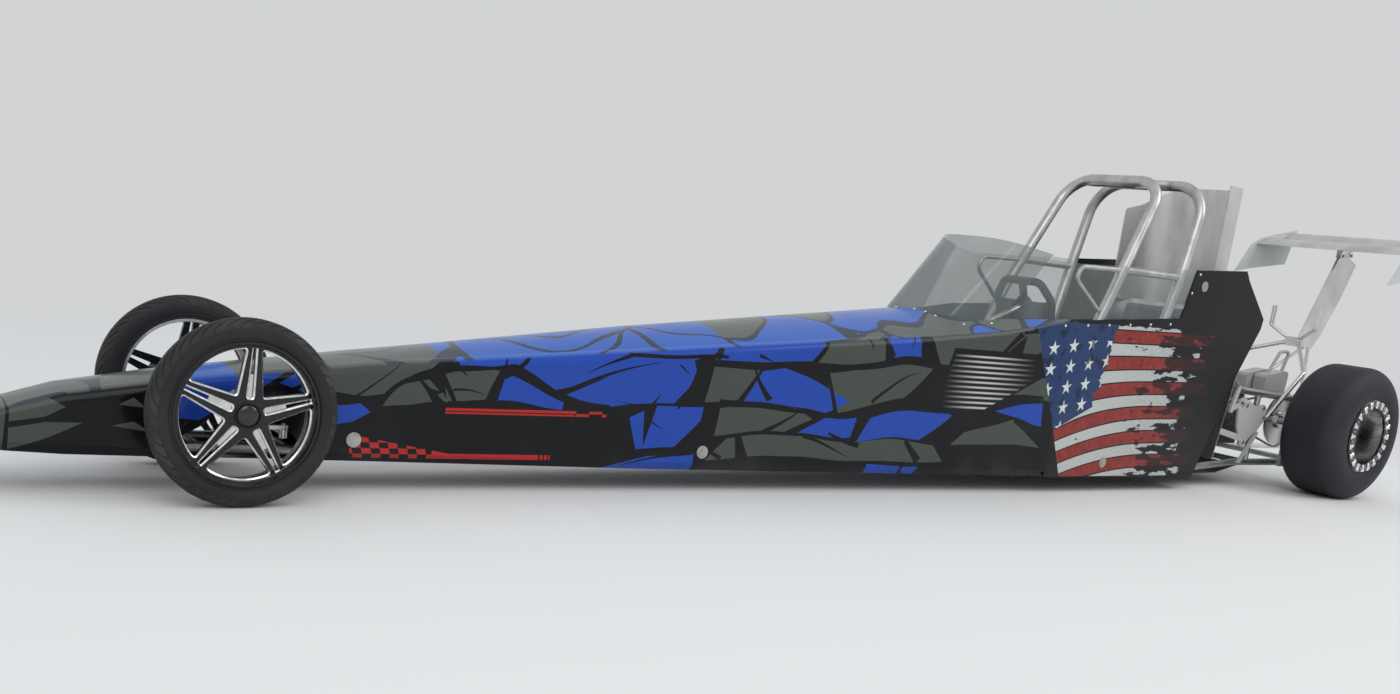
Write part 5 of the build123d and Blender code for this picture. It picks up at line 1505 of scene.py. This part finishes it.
@dataclass
class FrontWheel:
    """Five-spoke front wheel with bright chamfers, and its treaded tyre."""

    side: Side
    radius: float = 0.1875
    half_width: float = 0.030
    rim_radius: float = 0.139
    window_radius: float = 0.131
    track: float = 0.424
    face_in: float = 0.009
    thick: float = 0.012
    hub: float = 0.02
    crown: float = 0.0045
    fall: float = 0.0110
    fall_reach: float = 0.11
    spokes: int = 5
    first: float = 85.0
    root: float = 0.0227
    tip: float = 0.0156
    window_in: float = 0.0455
    slot_ends: tuple[Flat, Flat] = ((0.0340, 0.0056), (0.1315, 0.0026))
    chamfer: Flat = (0.0032, 0.0024)
    lugs: int = 42
    lug_height: float = 0.0026

    def centre(self) -> Vector:
        """Middle of the wheel."""
        return at(0.0, self.side.value * self.track / 2, self.radius)

    def spoke_turn(self, index: int) -> float:
        """Angle of a spoke in the wheel's own frame, in radians."""
        turn = math.radians(self.first + index * 360 / self.spokes)
        return turn if self.side is Side.LEFT else math.pi - turn

    def half_at(self, radius: float) -> float:
        """Half width of a spoke at a radius."""
        share = (radius - self.hub) / (self.window_radius - self.hub)
        return self.root + (self.tip - self.root) * share

    def dish(self, radius: float) -> float:
        """Rise of the spokes towards the hub."""
        return self.crown - self.fall * min(1.0, max(0.0, (radius - self.hub) / self.fall_reach))

    def window(self, turn: float) -> list[Flat]:
        """Outline of the opening after a spoke.

        Args:
            turn: angle of that spoke.
        Returns:
            The outline.
        """
        step = math.tau / self.spokes
        outer = self.window_radius - 0.0025
        lean = math.asin(self.half_at(outer) / outer)
        arc = [turn + lean + (step - 2 * lean) * i / 24 for i in range(25)]
        inner = (self.window_in * math.cos(turn + step / 2), self.window_in * math.sin(turn + step / 2))
        outline = [inner, *((outer * math.cos(a), outer * math.sin(a)) for a in arc)]
        return eased(outline, (0, 1, len(outline) - 1), 0.0065)

    def slot(self, turn: float) -> list[Flat]:
        """Outline of the slot along a spoke."""
        (start, wide), (end, narrow) = self.slot_ends
        flat = [(start, -wide), (end, -narrow), (end, narrow), (start, wide)]
        return turned(rounded(flat, 0.02, 7), turn)

    def floor(self, turn: float) -> list[Flat]:
        """Outline of the bright floor in the inner half of a slot."""
        flat = ((0.032, -0.0075), (0.080, -0.0060), (0.080, 0.0060), (0.032, 0.0075))
        return turned(flat, turn)

    def build(self) -> None:
        """Make the rim and the tyre."""
        body = f"front_wheel_{self.side.tag}"
        place = self.side.wheel_frame(self.centre())
        face = place @ Matrix.Translation((0, 0, self.half_width - self.face_in))
        black, bright = FINISHES.get("rim"), FINISHES.get("bright")
        disc = [(self.rim_radius * math.cos(math.tau * i / 96), self.rim_radius * math.sin(math.tau * i / 96))
                for i in range(96)]
        turns = [self.spoke_turn(i) for i in range(self.spokes)]
        holes = [self.window(turn) for turn in turns] + [self.slot(turn) for turn in turns]
        star = plate("star", disc, holes, face, self.thick, self.chamfer, black, bright, True, self.dish)
        floors = [plate("floor", self.floor(turn), [], face @ Matrix.Translation((0, 0, -0.0055)), 0.003,
                        (0.0003, 0.0003), FINISHES.get("polish"), bright, False, self.dish) for turn in turns]
        rim, inner = self.rim_radius, self.window_radius
        w = self.half_width - 0.003
        satin = FINISHES.get("barrel")
        barrel = lathe("barrel", [(rim, w - 0.008), (rim, -w), (rim - 0.006, -w), (inner, -w + 0.008),
                                  (inner, w - 0.014)], place, satin)
        lip = lathe("lip", [(rim + 0.004, w + 0.002), (rim + 0.001, w - 0.009), (inner + 0.001, w - 0.009),
                            (inner + 0.001, w - 0.004), (rim - 0.003, w - 0.003), (rim, w + 0.003)], place, black)
        cap = lathe("cap", [(0.0, 0.0115), (0.009, 0.0112), (0.016, 0.0098), (0.0205, 0.0072), (0.0225, 0.004),
                            (0.0235, -0.03), (0.0, -0.03)], face, FINISHES.get("gloss"))
        ring = lathe("cap ring", [(0.0240, 0.0062), (0.0262, 0.0056), (0.0262, 0.0), (0.0238, 0.0)], face,
                     FINISHES.get("rubber"))
        post = lathe("post", [(0.0, -0.012), (0.022, -0.012), (0.022, -0.052), (0.0, -0.052)], face, satin)
        rim_mesh = joined(f"front_wheel_rim_{self.side.tag}", [star, *floors, barrel, lip, cap, ring, post])
        piece(f"front_wheel_rim_{self.side.tag}", rim_mesh, body, [f"front_rim_{self.side.tag}"])
        self.build_tyre(place, body)

    def build_tyre(self, place: Matrix, body: str) -> None:
        """Make the tyre as a turned section.

        Args:
            place: the wheel's frame.
            body: the body that it rides on.
        """
        r, h, rim = self.radius - self.lug_height, self.half_width, self.rim_radius
        half = [(rim - 0.001, h - 0.004), (rim + 0.003, h - 0.0022), (rim + 0.0065, h - 0.0032),
                (rim + 0.0082, h + 0.0004), (rim + 0.0100, h + 0.0004), (rim + 0.0112, h - 0.0018),
                (rim + 0.0160, h - 0.0008), (rim + 0.0225, h - 0.0002), (r - 0.0165, h - 0.0012),
                (r - 0.0155, h - 0.0030), (r - 0.009, h - 0.0058), (r - 0.0045, h - 0.0100), (r - 0.0015, h - 0.0170),
                (r, h - 0.0235), (r + self.lug_height, h - 0.0237), (r + self.lug_height, h - 0.0285)]
        profile = half + [(a, -b) for a, b in reversed(half)]
        tag = self.side.tag
        rubber = TyreRubber(f"front tyre {tag}", self.centre(), r, h, True).make()
        casing = smooth(lathe(f"front_tyre_rubber_{tag}", profile, place, rubber, 128), 30.0)
        spots = [(self.centre(), (0.0, math.tau * i / self.lugs, 0.0)) for i in range(self.lugs)]
        block = FINISHES.get("lug")
        tread = RepeatTree().row(f"front_tread_{tag}", self.lug(half[9:14], block), spots, block)
        piece(f"front_tyre_rubber_{tag}", joined(f"front_tyre_rubber_{tag}", [casing, tread]), body,
              [f"front_tyre_{tag}"])

    def lug(self, shoulder: Sequence[Flat], rubber: bpy.types.Material) -> bpy.types.Mesh:
        """One pair of swept tread blocks, round the wheel's middle.

        Args:
            shoulder: radius and distance from the middle, from the shoulder to the crown.
            rubber: the tyre's material.
        Returns:
            The mesh.
        """
        step = math.tau / self.lugs
        points: list[Point] = []
        faces: list[tuple[int, ...]] = []
        for mirror in (1, -1):
            base = len(points)
            for i, (radius, off) in enumerate(shoulder):
                share = i / (len(shoulder) - 1)
                turn = step * (1.9 * share ** 1.5 + (0.5 if mirror < 0 else 0.0)) * -self.side.value
                half = step * (0.38 - 0.03 * share)
                for level, edge in ((-0.001, -half), (-0.001, half), (self.lug_height, half * 0.9),
                                    (self.lug_height, -half * 0.9)):
                    reach = radius + level * (0.55 if i == 0 else 1.0)
                    points.append((reach * math.sin(turn + edge), mirror * off, reach * math.cos(turn + edge)))
            for i in range(len(shoulder) - 1):
                a, b = base + 4 * i, base + 4 * i + 4
                faces += [(a + k, a + (k + 1) % 4, b + (k + 1) % 4, b + k) for k in range(4)]
            last = base + 4 * (len(shoulder) - 1)
            faces += [(base, base + 1, base + 2, base + 3), (last, last + 1, last + 2, last + 3)]
        return mesh_of("lug", points, faces, rubber)


@dataclass
class RearWheel:
    """Deep rear wheel with its clamp ring and slick."""

    side: Side
    half_width: float = 0.108
    rim_radius: float = 0.126
    rim_half: float = 0.100
    track: float = 0.716
    clamps: int = 20
    rubber: Colour = (0.016, 0.0165, 0.021)

    def centre(self) -> Vector:
        """Middle of the wheel."""
        return at(REAR_AXLE, self.side.value * self.track / 2, REAR_RADIUS)

    def build(self) -> None:
        """Make the clamp ring and dress the rim and the slick."""
        tag = self.side.tag
        place = self.side.wheel_frame(self.centre() + self.side.out * self.rim_half)
        dress(f"rear_rim_{tag}", TurnedMetal(f"rear rim {tag}", self.centre()).make())
        rubber = TyreRubber(f"rear slick {tag}", self.centre(), REAR_RADIUS, self.half_width, False, self.rubber)
        dress(f"rear_tyre_{tag}", rubber.make())
        r = self.rim_radius
        ring = lathe("ring", [(r - 0.001, -0.002), (r - 0.001, 0.004), (r - 0.004, 0.006), (r - 0.026, 0.006),
                              (r - 0.028, 0.004), (r - 0.028, -0.002)], place, FINISHES.get("gloss"))
        middle = place.to_translation()
        turns = [(middle, (0.0, math.tau * i / self.clamps, 0.0)) for i in range(self.clamps)]
        tabs = RepeatTree().row("clamp tabs", self.clamp(), turns, FINISHES.get("bright"))
        piece(f"clamp_ring_{tag}", joined(f"clamp_ring_{tag}", [ring, tabs]), "rear_axle")
        spots = []
        for index in range(self.clamps):
            turn = math.tau * (index + 0.5) / self.clamps
            spot = Vector(((r - 0.015) * math.cos(turn), (r - 0.015) * math.sin(turn), 0.007))
            spots.append((place @ spot, self.side.out))
        bolts = FastenerTree(Head.HEX).set(f"clamp_bolts_{tag}", spots, 0.0045, 0.0022, FINISHES.get("chain"))
        piece(f"clamp_bolts_{tag}", bolts, "rear_axle")

    def clamp(self) -> bpy.types.Mesh:
        """One scalloped bright tab, round the middle of the ring."""
        inner, outer = self.rim_radius - 0.027, self.rim_radius - 0.002
        flat = [(inner, -0.0050), ((inner + outer) / 2, -0.0062), (outer, -0.0115), (outer, 0.0115),
                ((inner + outer) / 2, 0.0062), (inner, 0.0050)]
        frame_of = self.side.wheel_frame(Vector((0, 0, 0))) @ Matrix.Translation((0, 0, 0.0105))
        bright = FINISHES.get("bright")
        return plate("clamp", rounded(flat, 0.004), [], frame_of, 0.006, (0.0018, 0.0016), bright, bright)


@dataclass
class Cockpit:
    """Screens, seat and steering."""

    pad_half: float = 0.143
    pad_depth: float = 0.014
    channels: int = 9
    seam_depth: float = 0.0065
    seam_width: float = 0.0055
    voxel: float = 0.006
    frames: int = 20
    reach: float = 0.010

    def build(self) -> None:
        """Dress the cockpit and make its pad."""
        dress("windscreen", FINISHES.get("smoked"))
        for node in ("side_glass_left", "side_glass_right"):
            dress(node, FINISHES.get("clear"))
        for node in ("firewall", "dash_panel", "head_surround"):
            dress(node, FINISHES.get("sheet"))
        dress("seat", FINISHES.get("seat"))
        dress("steering_wheel", FINISHES.get("grip"))
        dress("steering_column", FINISHES.get("steel"))
        self.build_pad()

    def pad_line(self) -> tuple[Vector, Vector, Vector]:
        """Front edge, hip and top of the pad's underside."""
        low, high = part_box("seat_pad")
        return (Vector((low[0] + 0.014, 0, low[2] + 0.030)), Vector((low[0] + 0.335, 0, low[2] + 0.014)),
                Vector((high[0] - 0.038, 0, high[2] - 0.014)))

    def blank(self) -> bpy.types.Mesh:
        """Thin closed blank of the pad, bent at the hip."""
        nose, hip, head = self.pad_line()
        path = [nose.lerp(hip, t / 14) for t in range(12)]
        path += bend(nose.lerp(hip, 11.6 / 14), hip, hip.lerp(head, 2.4 / 18), 6)[1:-1]
        path += [hip.lerp(head, t / 18) for t in range(3, 19)]
        rows, columns = len(path), 25
        points = []
        for layer in (0, 1):
            for i, spot in enumerate(path):
                run = (path[min(i + 1, rows - 1)] - path[max(i - 1, 0)]).normalized()
                out = Vector((-run.z, 0, run.x))
                for j in range(columns):
                    v = j / (columns - 1) * 2 - 1
                    edge = min(1.0, (1 - abs(v)) * 8, (min(i, rows - 1 - i) + 0.4) * 0.6)
                    lift = 0.004 + layer * (0.004 + self.pad_depth * edge ** 0.5)
                    points.append(spot + out * lift + Vector((0, v * self.pad_half, 0)))
        faces = []
        size = rows * columns
        for base in (0, size):
            for i in range(rows - 1):
                for j in range(columns - 1):
                    a = base + i * columns + j
                    faces.append((a, a + 1, a + columns + 1, a + columns))
        loop = [*range(columns), *(i * columns + columns - 1 for i in range(1, rows)),
                *((rows - 1) * columns + j for j in range(columns - 2, -1, -1)),
                *(i * columns for i in range(rows - 2, 0, -1))]
        faces += [(a, b, b + size, a + size) for a, b in zip(loop, loop[1:] + loop[:1])]
        return mesh_of("pad blank", points, faces, FINISHES.get("cloth"))

    def swollen(self, blank: bpy.types.Mesh) -> bpy.types.Mesh:
        """Blow a blank up as sewn cloth, none of its points further than the reach.

        Args:
            blank: the closed blank.
        Returns:
            The filled pad.
        """
        scene = bpy.context.scene
        pad = linked("pad", blank)
        remesh = pad.modifiers.new("even cloth", "REMESH")
        remesh.mode = "VOXEL"
        remesh.voxel_size = self.voxel
        even = evaluated(pad)
        pad.modifiers.remove(remesh)
        pad.data = even
        cloth = pad.modifiers.new("filling", "CLOTH")
        cloth.settings.quality = 5
        cloth.settings.use_pressure = True
        cloth.settings.uniform_pressure_force = 4.0
        cloth.settings.effector_weights.gravity = 0.0
        cloth.point_cache.frame_start, cloth.point_cache.frame_end = 1, self.frames
        for frame_number in range(1, self.frames + 1):
            scene.frame_set(frame_number)
        filled = evaluated(pad)
        for start, end in zip(even.vertices, filled.vertices):
            move = end.co - start.co
            if move.length > self.reach:
                end.co = start.co + move.normalized() * self.reach
        bpy.data.objects.remove(pad)
        scene.frame_set(1)
        return filled

    def along(self, place: Vector) -> float:
        """How far up the pad a point lies, from its front edge over the hip."""
        nose, hip, head = self.pad_line()
        flat = Vector((place.x, 0, place.z))
        base, back = hip - nose, head - hip
        low = min(1.0, max(0.0, (flat - nose).dot(base) / base.length_squared))
        high = min(1.0, max(0.0, (flat - hip).dot(back) / back.length_squared))
        if (flat - nose - base * low).length < (flat - hip - back * high).length:
            return base.length * low
        return base.length + back.length * high

    def build_pad(self) -> None:
        """Pad filled as cloth, with sewn channels across it."""
        mesh = self.blank()
        mesh = self.swollen(mesh)
        carrier = linked("pad", mesh)
        finer = carrier.modifiers.new("finer", "SUBSURF")
        finer.levels = finer.render_levels = 1
        fine = evaluated(carrier)
        bpy.data.objects.remove(carrier)
        nose, hip, head = self.pad_line()
        pitch = ((hip - nose).length + (head - hip).length) / self.channels
        normals = [vertex.normal.copy() for vertex in fine.vertices]
        for vertex, normal in zip(fine.vertices, normals):
            gap = (self.along(vertex.co) + pitch / 2) % pitch - pitch / 2
            edge = min(1.0, max(0.0, (self.pad_half - 0.006 - abs(vertex.co.y)) / 0.020))
            if abs(gap) < self.seam_width * 3 and normal.z - normal.x > 0.2:
                vertex.co -= normal * self.seam_depth * edge * math.exp(-(gap / self.seam_width) ** 2)
        fine.materials.clear()
        fine.materials.append(FINISHES.get("cloth"))
        fine.name = "quilted_pad"
        pad = piece("quilted_pad", smooth(fine, 80.0), "chassis", ["seat_pad"])


@dataclass
class ChainDrive:
    """Roller chain from the engine's clutch to the axle's sprocket."""

    pitch: float = 0.0098
    link_height: float = 0.0066
    roller: float = 0.0029
    inner_gap: float = 0.0020
    outer_gap: float = 0.0034
    sheet: float = 0.0010

    def loop(self) -> list[tuple[Vector, float]]:
        """Places of the pins round both wheels, each with its direction in the plane of the chain."""
        low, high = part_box("drive_chain")
        small, large = ((Vector(a) + Vector(b)) / 2 for a, b in (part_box("clutch"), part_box("sprocket")))
        level = (low[1] + high[1]) / 2
        near, far = Vector((small.x, small.z)), Vector((large.x, large.z))
        r_near = near.x - low[0] - self.link_height / 2
        r_far = high[0] - far.x - self.link_height / 2
        gap = near - far
        lean = math.atan2(gap.y, gap.x)
        open_angle = math.acos((r_far - r_near) / gap.length)
        line: list[Vector] = []
        for centre, radius, start, end in ((far, r_far, lean + open_angle, lean + math.tau - open_angle),
                                           (near, r_near, lean - open_angle, lean + open_angle)):
            for step in range(61):
                turn = start + (end - start) * step / 60
                line.append(centre + Vector((math.cos(turn), math.sin(turn))) * radius)
        line.append(line[0])
        total = sum((b - a).length for a, b in zip(line, line[1:]))
        count = 2 * round(total / self.pitch / 2)
        pins = []
        walked, index = 0.0, 0
        for pin in range(count):
            goal = total * pin / count
            while walked + (line[index + 1] - line[index]).length < goal:
                walked += (line[index + 1] - line[index]).length
                index += 1
            run = line[index + 1] - line[index]
            pins.append(line[index] + run.normalized() * (goal - walked))
        result = []
        for here, there in zip(pins, pins[1:] + pins[:1]):
            run = there - here
            result.append((Vector((here.x, level, here.y)), math.atan2(-run.y, run.x)))
        return result

    def link(self, gap: float, rollers: bool) -> bpy.types.Mesh:
        """One link lying along x, its first pin at the origin.

        Args:
            gap: distance of its plates from the middle.
            rollers: whether it carries the rollers.
        Returns:
            The mesh.
        """
        steel = FINISHES.get("chain")
        half = self.link_height / 2
        outline = [(self.pitch * end + half * math.sin(turn) * sign, half * math.cos(turn) * sign)
                   for end, sign in ((0, -1), (1, 1)) for turn in (0.0, 0.8, 1.57, 2.34, 3.14)]
        parts = []
        for value in (-1, 1):
            place = Side.LEFT.wheel_frame(Vector((0, value * gap - self.sheet / 2, 0)))
            parts.append(plate("link", outline, [], place, self.sheet, (0.0003, 0.0002), steel, steel))
        if rollers:
            for side in (0, 1):
                place = Side.LEFT.wheel_frame(Vector((self.pitch * side, 0, 0)))
                profile = [(0.0, -gap), (self.roller, -gap), (self.roller, gap), (0.0, gap)]
                parts.append(lathe("roller", profile, place, steel, 10))
        return joined("link", parts)

    def build(self) -> None:
        """Lay the chain."""
        pins = self.loop()
        spots = [(place, (0.0, turn, 0.0)) for place, turn in pins]
        steel = FINISHES.get("chain")
        inner = RepeatTree().row("inner links", self.link(self.inner_gap, True), spots[0::2], steel)
        outer = RepeatTree().row("outer links", self.link(self.outer_gap, False), spots[1::2], steel)
        piece("roller_chain", joined("roller_chain", [inner, outer]), "chassis", ["drive_chain"])


@dataclass
class WheelieHubs:
    """Bright hubs in the two small wheels under the tail bar."""

    hub: float = 0.017
    proud: float = 0.002

    def build(self) -> None:
        """Turn a stepped hub through both wheels."""
        low, high = (Vector(corner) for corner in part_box("wheelie_wheels"))
        half = (high.y - low.y) / 2 + self.proud
        profile = [(0.0, half), (0.006, half), (0.007, half - 0.001), (0.007, half - 0.0015),
                   (self.hub - 0.002, half - 0.0015), (self.hub, half - 0.003), (self.hub, half - 0.010),
                   (0.0, half - 0.010)]
        middle = (low + high) / 2
        parts = [lathe("hub", profile, side.wheel_frame(middle), FINISHES.get("arm"), 32) for side in Side]
        piece("wheelie_hubs", joined("wheelie_hubs", parts), "wheelie_wheels")


@dataclass
class WingMount:
    """Clevises, bolts and brace between the pylon and the wing, and bolts on the engine's plates."""

    clevises: tuple[Flat, ...] = ((4.212, 0.852), (4.268, 0.858))
    half_gap: float = 0.0085
    sheet: float = 0.003
    brace: tuple[Flat, ...] = ((4.302, 0.870), (4.272, 0.838), (4.262, 0.792))
    plate_bolts: tuple[Flat, ...] = ((3.435, 0.296), (3.472, 0.286), (3.575, 0.279), (3.492, 0.157), (3.585, 0.247))
    axle_bolts: tuple[Flat, ...] = ((0.034, 0.034), (-0.034, 0.034), (0.034, -0.034), (-0.034, -0.034))

    def build(self) -> None:
        """Make the fittings."""
        bright = FINISHES.get("bright")
        ear = [(-0.013, -0.013), (0.013, -0.013), (0.010, 0.016), (-0.010, 0.016)]
        parts, spots = [], []
        for station, z in self.clevises:
            for side in Side:
                face = at(station, side.value * (self.half_gap + self.sheet), z)
                parts.append(plate("ear", rounded(ear, 0.006), [], side.wheel_frame(face), self.sheet,
                                   (0.0005, 0.0004), bright, bright))
                spots.append((face + side.out * 0.001 + Vector((0, 0, -0.004)), side.out))
        line = [at(station, 0.013, z) for station, z in self.brace]
        parts.append(bar("brace", line, 0.0035, FINISHES.get("arm"), 0.008))
        piece("wing_fittings", joined("wing_fittings", parts), "chassis")
        for side in Side:
            for along, rise in self.axle_bolts:
                start = at(REAR_AXLE + along, side.value * 0.7, REAR_RADIUS + rise)
                spots.append(cast("bearing_plates", start, -side.out))
        for station, z in self.plate_bolts:
            spots.append(cast("motor_plate", at(station, -0.7, z), Vector((0, 1, 0))))
        bolts = FastenerTree(Head.HEX).set("frame_bolts", spots, 0.0065, 0.0030, FINISHES.get("chain"))
        piece("frame_bolts", bolts, "chassis")


class Chassis:
    """Tubes, axles and steering gear."""

    def build(self) -> None:
        """Dress the frame, the cage and the steering."""
        finishes = {"frame": ("lower_rails", "upper_rails", "frame_crossbars"),
                    "cage": ("front_hoop", "main_hoop", "cage_bars"),
                    "steel": ("front_axle", "knuckle_left", "knuckle_right", "tie_rod", "rear_axle", "clutch"),
                    "turned": ("sprocket", "brake_disc"),
                    "plate": ("bearing_plates", "motor_plate", "brake_caliper"), "pan": ("engine_tray",),
                    "cast": ("engine_block",), "cover": ("engine_cover", "fuel_tank"), "small": ("wheelie_wheels",),
                    "wing": ("wing_main", "wing_flap"), "fin": ("wing_end_plates",),
                    "arm": ("wing_pylon", "wing_stand", "wheelie_bar")}
        for finish, nodes in finishes.items():
            for node in nodes:
                dress(node, FINISHES.get(finish))


@dataclass
class Studio:
    """Pale floor, soft light and the camera."""

    eye: Point = (-2.836, -2.770, 0.619)
    right: Point = (0.81944, -0.56132, 0.11601)
    up: Point = (0.02735, 0.24047, 0.97027)
    lens: float = 33.83
    shift: Flat = (0.027, 0.127)
    backdrop: Colour = (0.64, 0.65, 0.66)
    floor_light: Colour = (0.74, 0.74, 0.73)
    floor_dark: Colour = (0.68, 0.68, 0.67)
    floor_half: float = 40.0
    horizon: Flat = (2.7, 4.9)
    sky: Colour = (0.90, 0.93, 0.97)
    sky_strength: float = 0.86
    lamps: tuple[tuple[Point, float, float], ...] = (((-3.0, -4.0, 4.5), 4.0, 90.0), ((3.4, -3.0, 3.6), 3.0, 65.0))

    def build(self) -> None:
        """Make the stage."""
        self.place_camera()
        self.lay_floor()
        self.light()

    def place_camera(self) -> None:
        """Camera at the photograph's viewing angle."""
        data = bpy.data.cameras.new("camera")
        data.lens = self.lens
        data.sensor_width = 36.0
        data.shift_x, data.shift_y = self.shift
        camera = linked("camera", data)
        right, up = Vector(self.right).normalized(), Vector(self.up)
        up = (up - right * up.dot(right)).normalized()
        turn = Matrix((right, up, right.cross(up))).transposed().to_4x4()
        camera.matrix_world = Matrix.Translation(self.eye) @ turn
        bpy.context.scene.camera = camera

    def lay_floor(self) -> None:
        """Plain pale floor."""
        bench = Bench("studio floor")
        grain = bench.noise(180.0, 3.0)
        tone = bench.mix(grain * 0.08, rgba(self.floor_light), rgba(self.floor_dark))
        material = bench.dress(base_color=tone, roughness=0.9, specular_ior_level=0.1)
        distance = (bench.x * bench.x + bench.y * bench.y).root()
        path = bench.node("ShaderNodeLightPath")
        seen = Signal(bench, path.outputs["Is Camera Ray"])
        for ray in ("Is Glossy Ray", "Is Transmission Ray"):
            seen = seen.most(Signal(bench, path.outputs[ray]))
        glow = bench.node("ShaderNodeEmission", None, {"Color": (*self.backdrop, 1.0), "Strength": 1.0})
        blend = bench.node("ShaderNodeMixShader", None, {0: distance.ease(*self.horizon) * seen,
                                                         1: bench.shader.outputs[0], 2: glow.outputs[0]})
        bench.tree.links.new(blend.outputs[0], bench.output.inputs["Surface"])
        size = self.floor_half
        corners = [(-size, -size, 0), (size, -size, 0), (size, size, 0), (-size, size, 0)]
        mesh = mesh_of("floor", corners, [(0, 1, 2, 3)], material)
        linked("floor", mesh)

    def light(self) -> None:
        """Even sky and two large soft lamps; the sky is seen, and mirrored, as the backdrop."""
        world = bpy.data.worlds.new("studio")
        world.use_nodes = True
        tree = world.node_tree
        sky = tree.nodes["Background"]
        sky.inputs["Color"].default_value = (*self.sky, 1.0)
        sky.inputs["Strength"].default_value = self.sky_strength
        shown = add_node(tree, "ShaderNodeBackground", None, {"Color": (*self.backdrop, 1.0)})
        path = add_node(tree, "ShaderNodeLightPath")
        seen = path.outputs["Is Camera Ray"]
        for ray in ("Is Transmission Ray", "Is Glossy Ray"):
            most = add_node(tree, "ShaderNodeMath", {"operation": "MAXIMUM"}, {0: seen, 1: path.outputs[ray]})
            seen = most.outputs[0]
        choice = add_node(tree, "ShaderNodeMixShader", None, {0: seen, 1: sky.outputs[0], 2: shown.outputs[0]})
        tree.links.new(choice.outputs[0], tree.nodes["World Output"].inputs["Surface"])
        bpy.context.scene.world = world
        for place, size, power in self.lamps:
            data = bpy.data.lights.new("softbox", "AREA")
            data.shape = "SQUARE"
            data.size = size
            data.energy = power
            turn = (-Vector(place)).to_track_quat("-Z", "Y").to_matrix().to_4x4()
            linked("softbox", data).matrix_world = Matrix.Translation(place) @ turn
        bpy.context.scene.view_settings.view_transform = "Standard"


def main() -> None:
    """Build every sub-assembly in order."""
    logging.basicConfig(level=logging.INFO, format="%(message)s")
    Studio().build()
    Chassis().build()
    Body().build()
    Cockpit().build()
    ChainDrive().build()
    WheelieHubs().build()
    WingMount().build()
    for side in Side:
        FrontWheel(side).build()
        RearWheel(side).build()


if __name__ == "__main__":
    main()
